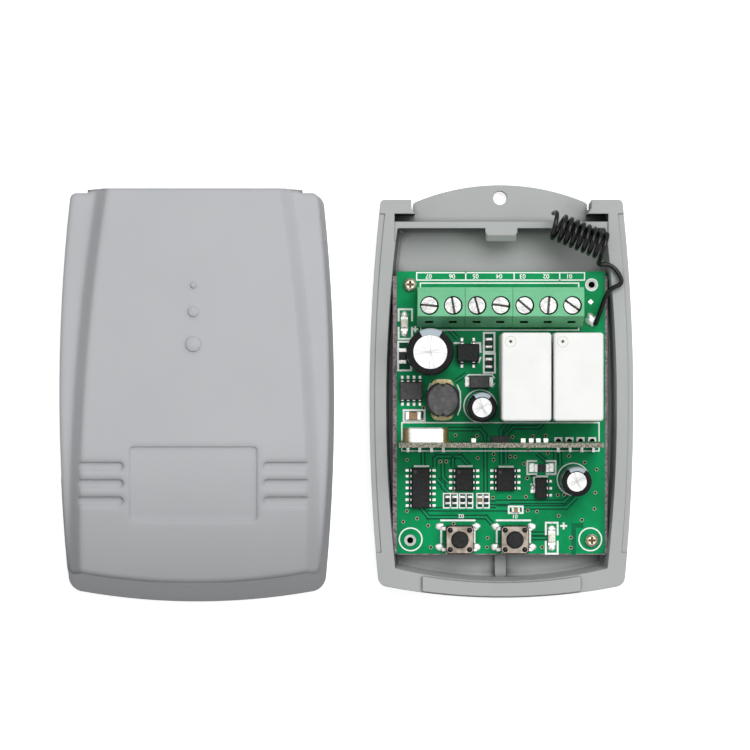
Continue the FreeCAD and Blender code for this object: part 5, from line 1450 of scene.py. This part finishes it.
@dataclass
class Packages:
    """Moulded chips with their leads, and the solder that holds the leads."""

    pad_side: float = 0.1
    pad_end: float = 0.28
    pad_height: float = 0.12
    dimple_r: float = 0.32
    dimple_in: float = 0.8
    dimple_height: float = 0.008
    bend_at: float = 0.42
    bend_length: float = 0.32
    bend_rise: float = 0.02
    own_reach: float = 1.0
    tab_solder: Spot = (6.85, -19.2, BOARD_TOP)
    tab_dome: Place = (0.62, 0.8)
    tab_stretch: Place = (0.85, 1.2)
    names: tuple[str, ...] = ("microcontroller", "memory_chip", "decoder_chip", "supply_chip",
                              "bridge_rectifier", "voltage_regulator")

    def build(self) -> None:
        """Dress the chips and set each lead in a low pad of solder."""
        dress(EPOXY, "microcontroller", "memory_chip", "decoder_chip", "bridge_rectifier",
              "voltage_regulator", "radio_chip")
        dress(WORN_EPOXY, "supply_chip", "rectifier_diode")
        dress(TIN, "package_leads")
        lows, highs = loose_boxes("package_leads")
        self.add_bend_shades(lows, highs)
        add_piece("tab_solder", turned(dome_profile(*self.tab_dome), [self.tab_solder], columns=28,
                                       stretch=self.tab_stretch), TIN)
        along_x = (highs[:, 0] - lows[:, 0]) > (highs[:, 1] - lows[:, 1])
        grow = np.where(along_x[:, None], [self.pad_end, self.pad_side], [self.pad_side, self.pad_end])
        lows[:, :2] -= grow
        highs[:, :2] += grow
        lows[:, 2], highs[:, 2] = BOARD_TOP - SINK, BOARD_TOP + self.pad_height
        add_piece("lead_solder", cuboids(lows, highs), TIN, edge=0.07)
        self.add_dimples()

    def add_bend_shades(self, lows: np.ndarray, highs: np.ndarray) -> None:
        """Paint shade over the bend of each lead: a short dark block across it, a little way out.

        Args:
            lows: the low corners of the leads.
            highs: their high corners.
        """
        boxes = np.array([box_of(name) for name in self.names])
        middles, halves = boxes.mean(1)[:, :2], (boxes[:, 1] - boxes[:, 0])[:, :2] / 2
        centre = (lows + highs)[:, :2] / 2
        beyond = (np.abs(centre[:, None] - middles[None]) - halves[None]).max(-1)
        own, gap = beyond.argmin(1), beyond.min(1)
        axis = (highs - lows)[:, :2].argmax(1)
        index = np.arange(len(lows))
        side = np.sign(centre[index, axis] - middles[own, axis])
        inner = middles[own, axis] + side * (halves[own, axis] + self.bend_at)
        low, high = lows - self.pad_side, highs + self.pad_side
        low[index, axis] = inner - self.bend_length / 2
        high[index, axis] = inner + self.bend_length / 2
        low[:, 2], high[:, 2] = BOARD_TOP + self.pad_height - SINK, highs[:, 2] + self.bend_rise
        near = gap < self.own_reach
        # Painted shade: a dark block across each lead's bend.
        add_piece("lead_bends", cuboids(low[near], high[near]), LEAD_BEND_SHADE, edge=0.04)

    def add_dimples(self) -> None:
        """Mark pin one of each chip with a shallow round dimple."""
        places = []
        for node, side_x, side_y in (("microcontroller", -1, 1), ("memory_chip", -1, 1),
                                     ("decoder_chip", -1, 1), ("supply_chip", -1, -1)):
            low, high = box_of(node)
            middle, half = (low + high) / 2, (high - low) / 2 - self.dimple_in
            places.append((middle[0] + side_x * half[0], middle[1] + side_y * half[1],
                           high[2] - self.dimple_height / 2))
        add_piece("pin_one_dimples", discs(self.dimple_r, self.dimple_height, places), WORN_EPOXY)


@dataclass
class ChipParts:
    """Chip resistors and ceramic capacitors: a body between two plated ends."""

    end_share: float = 0.22
    inset: float = 0.02
    pad_grow: float = 0.12
    pad_height: float = 0.1

    def split(self, lows: np.ndarray, highs: np.ndarray) -> tuple[np.ndarray, ...]:
        """Cut each part's box across its long axis into a body and two ends.

        Args:
            lows: the low corners of the parts.
            highs: their high corners.

        Returns:
            The low and high corners of the bodies, then those of the ends.
        """
        index = np.arange(len(lows))
        axis = (highs - lows).argmax(1)
        body_low, body_high = lows + self.inset, highs - self.inset
        body_low[:, 2] = np.where(axis == 2, body_low[:, 2], lows[:, 2])
        first_high, second_low = highs.copy(), lows.copy()
        end = self.end_share * (highs - lows)[index, axis]
        first_high[index, axis] = lows[index, axis] + end
        second_low[index, axis] = highs[index, axis] - end
        return body_low, body_high, np.vstack([lows, second_low]), np.vstack([first_high, highs])

    def build(self) -> None:
        """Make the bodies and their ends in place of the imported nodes."""
        for node, finish, slot in (("chip_resistors", RESISTOR_GLAZE, Slot.CHIP),
                                   ("ceramic_capacitors", CERAMIC_TAN, Slot.CERAMIC)):
            lows, highs = loose_boxes(node)
            body_low, body_high, end_low, end_high = self.split(lows, highs)
            add_piece(node + "_bodies", cuboids(body_low, body_high), finish, replaces=[node],
                      edge=0.05)
            add_piece(node + "_ends", cuboids(end_low, end_high), TIN, replaces=[node], edge=0.06)
            on_board = end_low[:, 2] < BOARD_TOP + self.pad_height
            pad_low, pad_high = end_low[on_board] - self.pad_grow, end_high[on_board] + self.pad_grow
            pad_low[:, 2], pad_high[:, 2] = BOARD_TOP - SINK, BOARD_TOP + self.pad_height
            add_piece(node + "_solder", cuboids(pad_low, pad_high), TIN, edge=0.08)


@dataclass
class Lamps:
    """The two surface lamps: a white base, plated ends and a clear lens."""

    names: tuple[str, ...] = ("power_led", "learn_led")
    base: float = 0.5
    end: float = 0.6
    end_rise: float = 0.03
    lens_half: float = 0.8
    lens_inset: float = 0.05
    solder_out: float = 0.35
    solder_dome: Place = (0.86, 0.5)

    def build(self) -> None:
        """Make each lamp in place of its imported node, and its mounds of solder."""
        for name in self.names:
            (left, near, foot), (right, far, head) = box_of(name)
            middle, top = np.array([left + right, near + far]) / 2, foot + self.base
            add_piece(name + "_base", slabs([(left, near, right, far)], foot, top), LAMP_BASE,
                      replaces=[name], edge=0.05)
            lens = [(left + self.lens_inset, middle[1] - self.lens_half,
                     right - self.lens_inset, middle[1] + self.lens_half)]
            add_piece(name + "_lens", slabs(lens, top - SINK, head), LAMP_RESIN,
                      replaces=[name], edge=0.2)
            ends = [(left, near, right, near + self.end), (left, far - self.end, right, far)]
            add_piece(name + "_ends", slabs(ends, foot, top + self.end_rise), TIN,
                      replaces=[name], edge=0.05)
            mounds = [(middle[0], y, BOARD_TOP) for y in (near - self.solder_out, far + self.solder_out)]
            add_piece(name + "_solder", turned(dome_profile(*self.solder_dome), mounds, columns=28,
                                               wobble=0.06, waves=(4, 3, 5)), TIN)


@dataclass
class RadioModule:
    """The upright radio board with its crystal, chip and bent pins."""

    glue_length: float = 1.5

    def build(self) -> None:
        """Dress the module's pieces."""
        dress(MODULE_LAMINATE, "radio_module_board")
        low, high = box_of("radio_crystal")
        dress(replace(CRYSTAL_CAN, centre=float(low[0] + high[0]) / 2,
                      clean=float(high[0] - low[0]) / 2 - self.glue_length), "radio_crystal")
        dress(TIN, "radio_module_pins")


@dataclass
class Switches:
    """The two push switches with their soldered feet."""

    solder_places: tuple[Place, ...] = (
        (-13.2, -27.7), (-5.35, -27.7), (-13.25, -32.15), (-5.3, -32.15),
        (-1.15, -27.7), (6.6, -27.7), (-1.25, -32.15), (6.7, -32.15),
    )
    solder_r: float = 0.92
    solder_height: float = 0.42
    centres: tuple[Place, ...] = ((-8.95, -30.45), (2.9, -30.45))
    rivet_offset: float = 2.1
    rivet_r: float = 0.58
    rivet_height: float = 0.36
    plate_top: float = BOARD_TOP + 3.4

    def build(self) -> None:
        """Dress the switches, cap their posts, and add a ragged mound of solder over each foot."""
        for side in ("left", "right"):
            dress(EPOXY, side + "_switch_housing")
            dress(STAINLESS, side + "_switch_cover")
            dress(BUTTON_BLACK, side + "_switch_button")
        dress(TIN, "switch_domes", "switch_pins")
        add_piece("switch_solder", turned(dome_profile(self.solder_r, self.solder_height),
                                          at_height(self.solder_places, BOARD_TOP), columns=36,
                                          stretch=(1.05, 0.88), wobble=0.055, waves=(4, 3, 7)),
                  TIN)
        posts = [(x + side_x * self.rivet_offset, y + side_y * self.rivet_offset, self.plate_top)
                 for x, y in self.centres for side_x in (-1, 1) for side_y in (-1, 1)]
        add_piece("riveted_posts", turned(dome_profile(self.rivet_r, self.rivet_height), posts),
                  RIVET_BLACK)


def corners(bounds: Sequence[Sequence[float]]) -> list[list[float]]:
    """Return a box's corners as plain lists of numbers."""
    return [[float(value) for value in corner] for corner in bounds]


def main() -> None:
    """Load the frame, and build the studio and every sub-assembly."""
    logging.basicConfig(level=logging.INFO)
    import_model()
    for part in (Studio(), Antenna(), Case(), BoardPrint(), BoardScrews(), Terminals(), PowerParts(),
                 Packages(), ChipParts(), Lamps(), RadioModule(), Switches()):
        part.build()
        LOG.info("built %s", type(part).__name__)


if __name__ == "__main__":
    main()
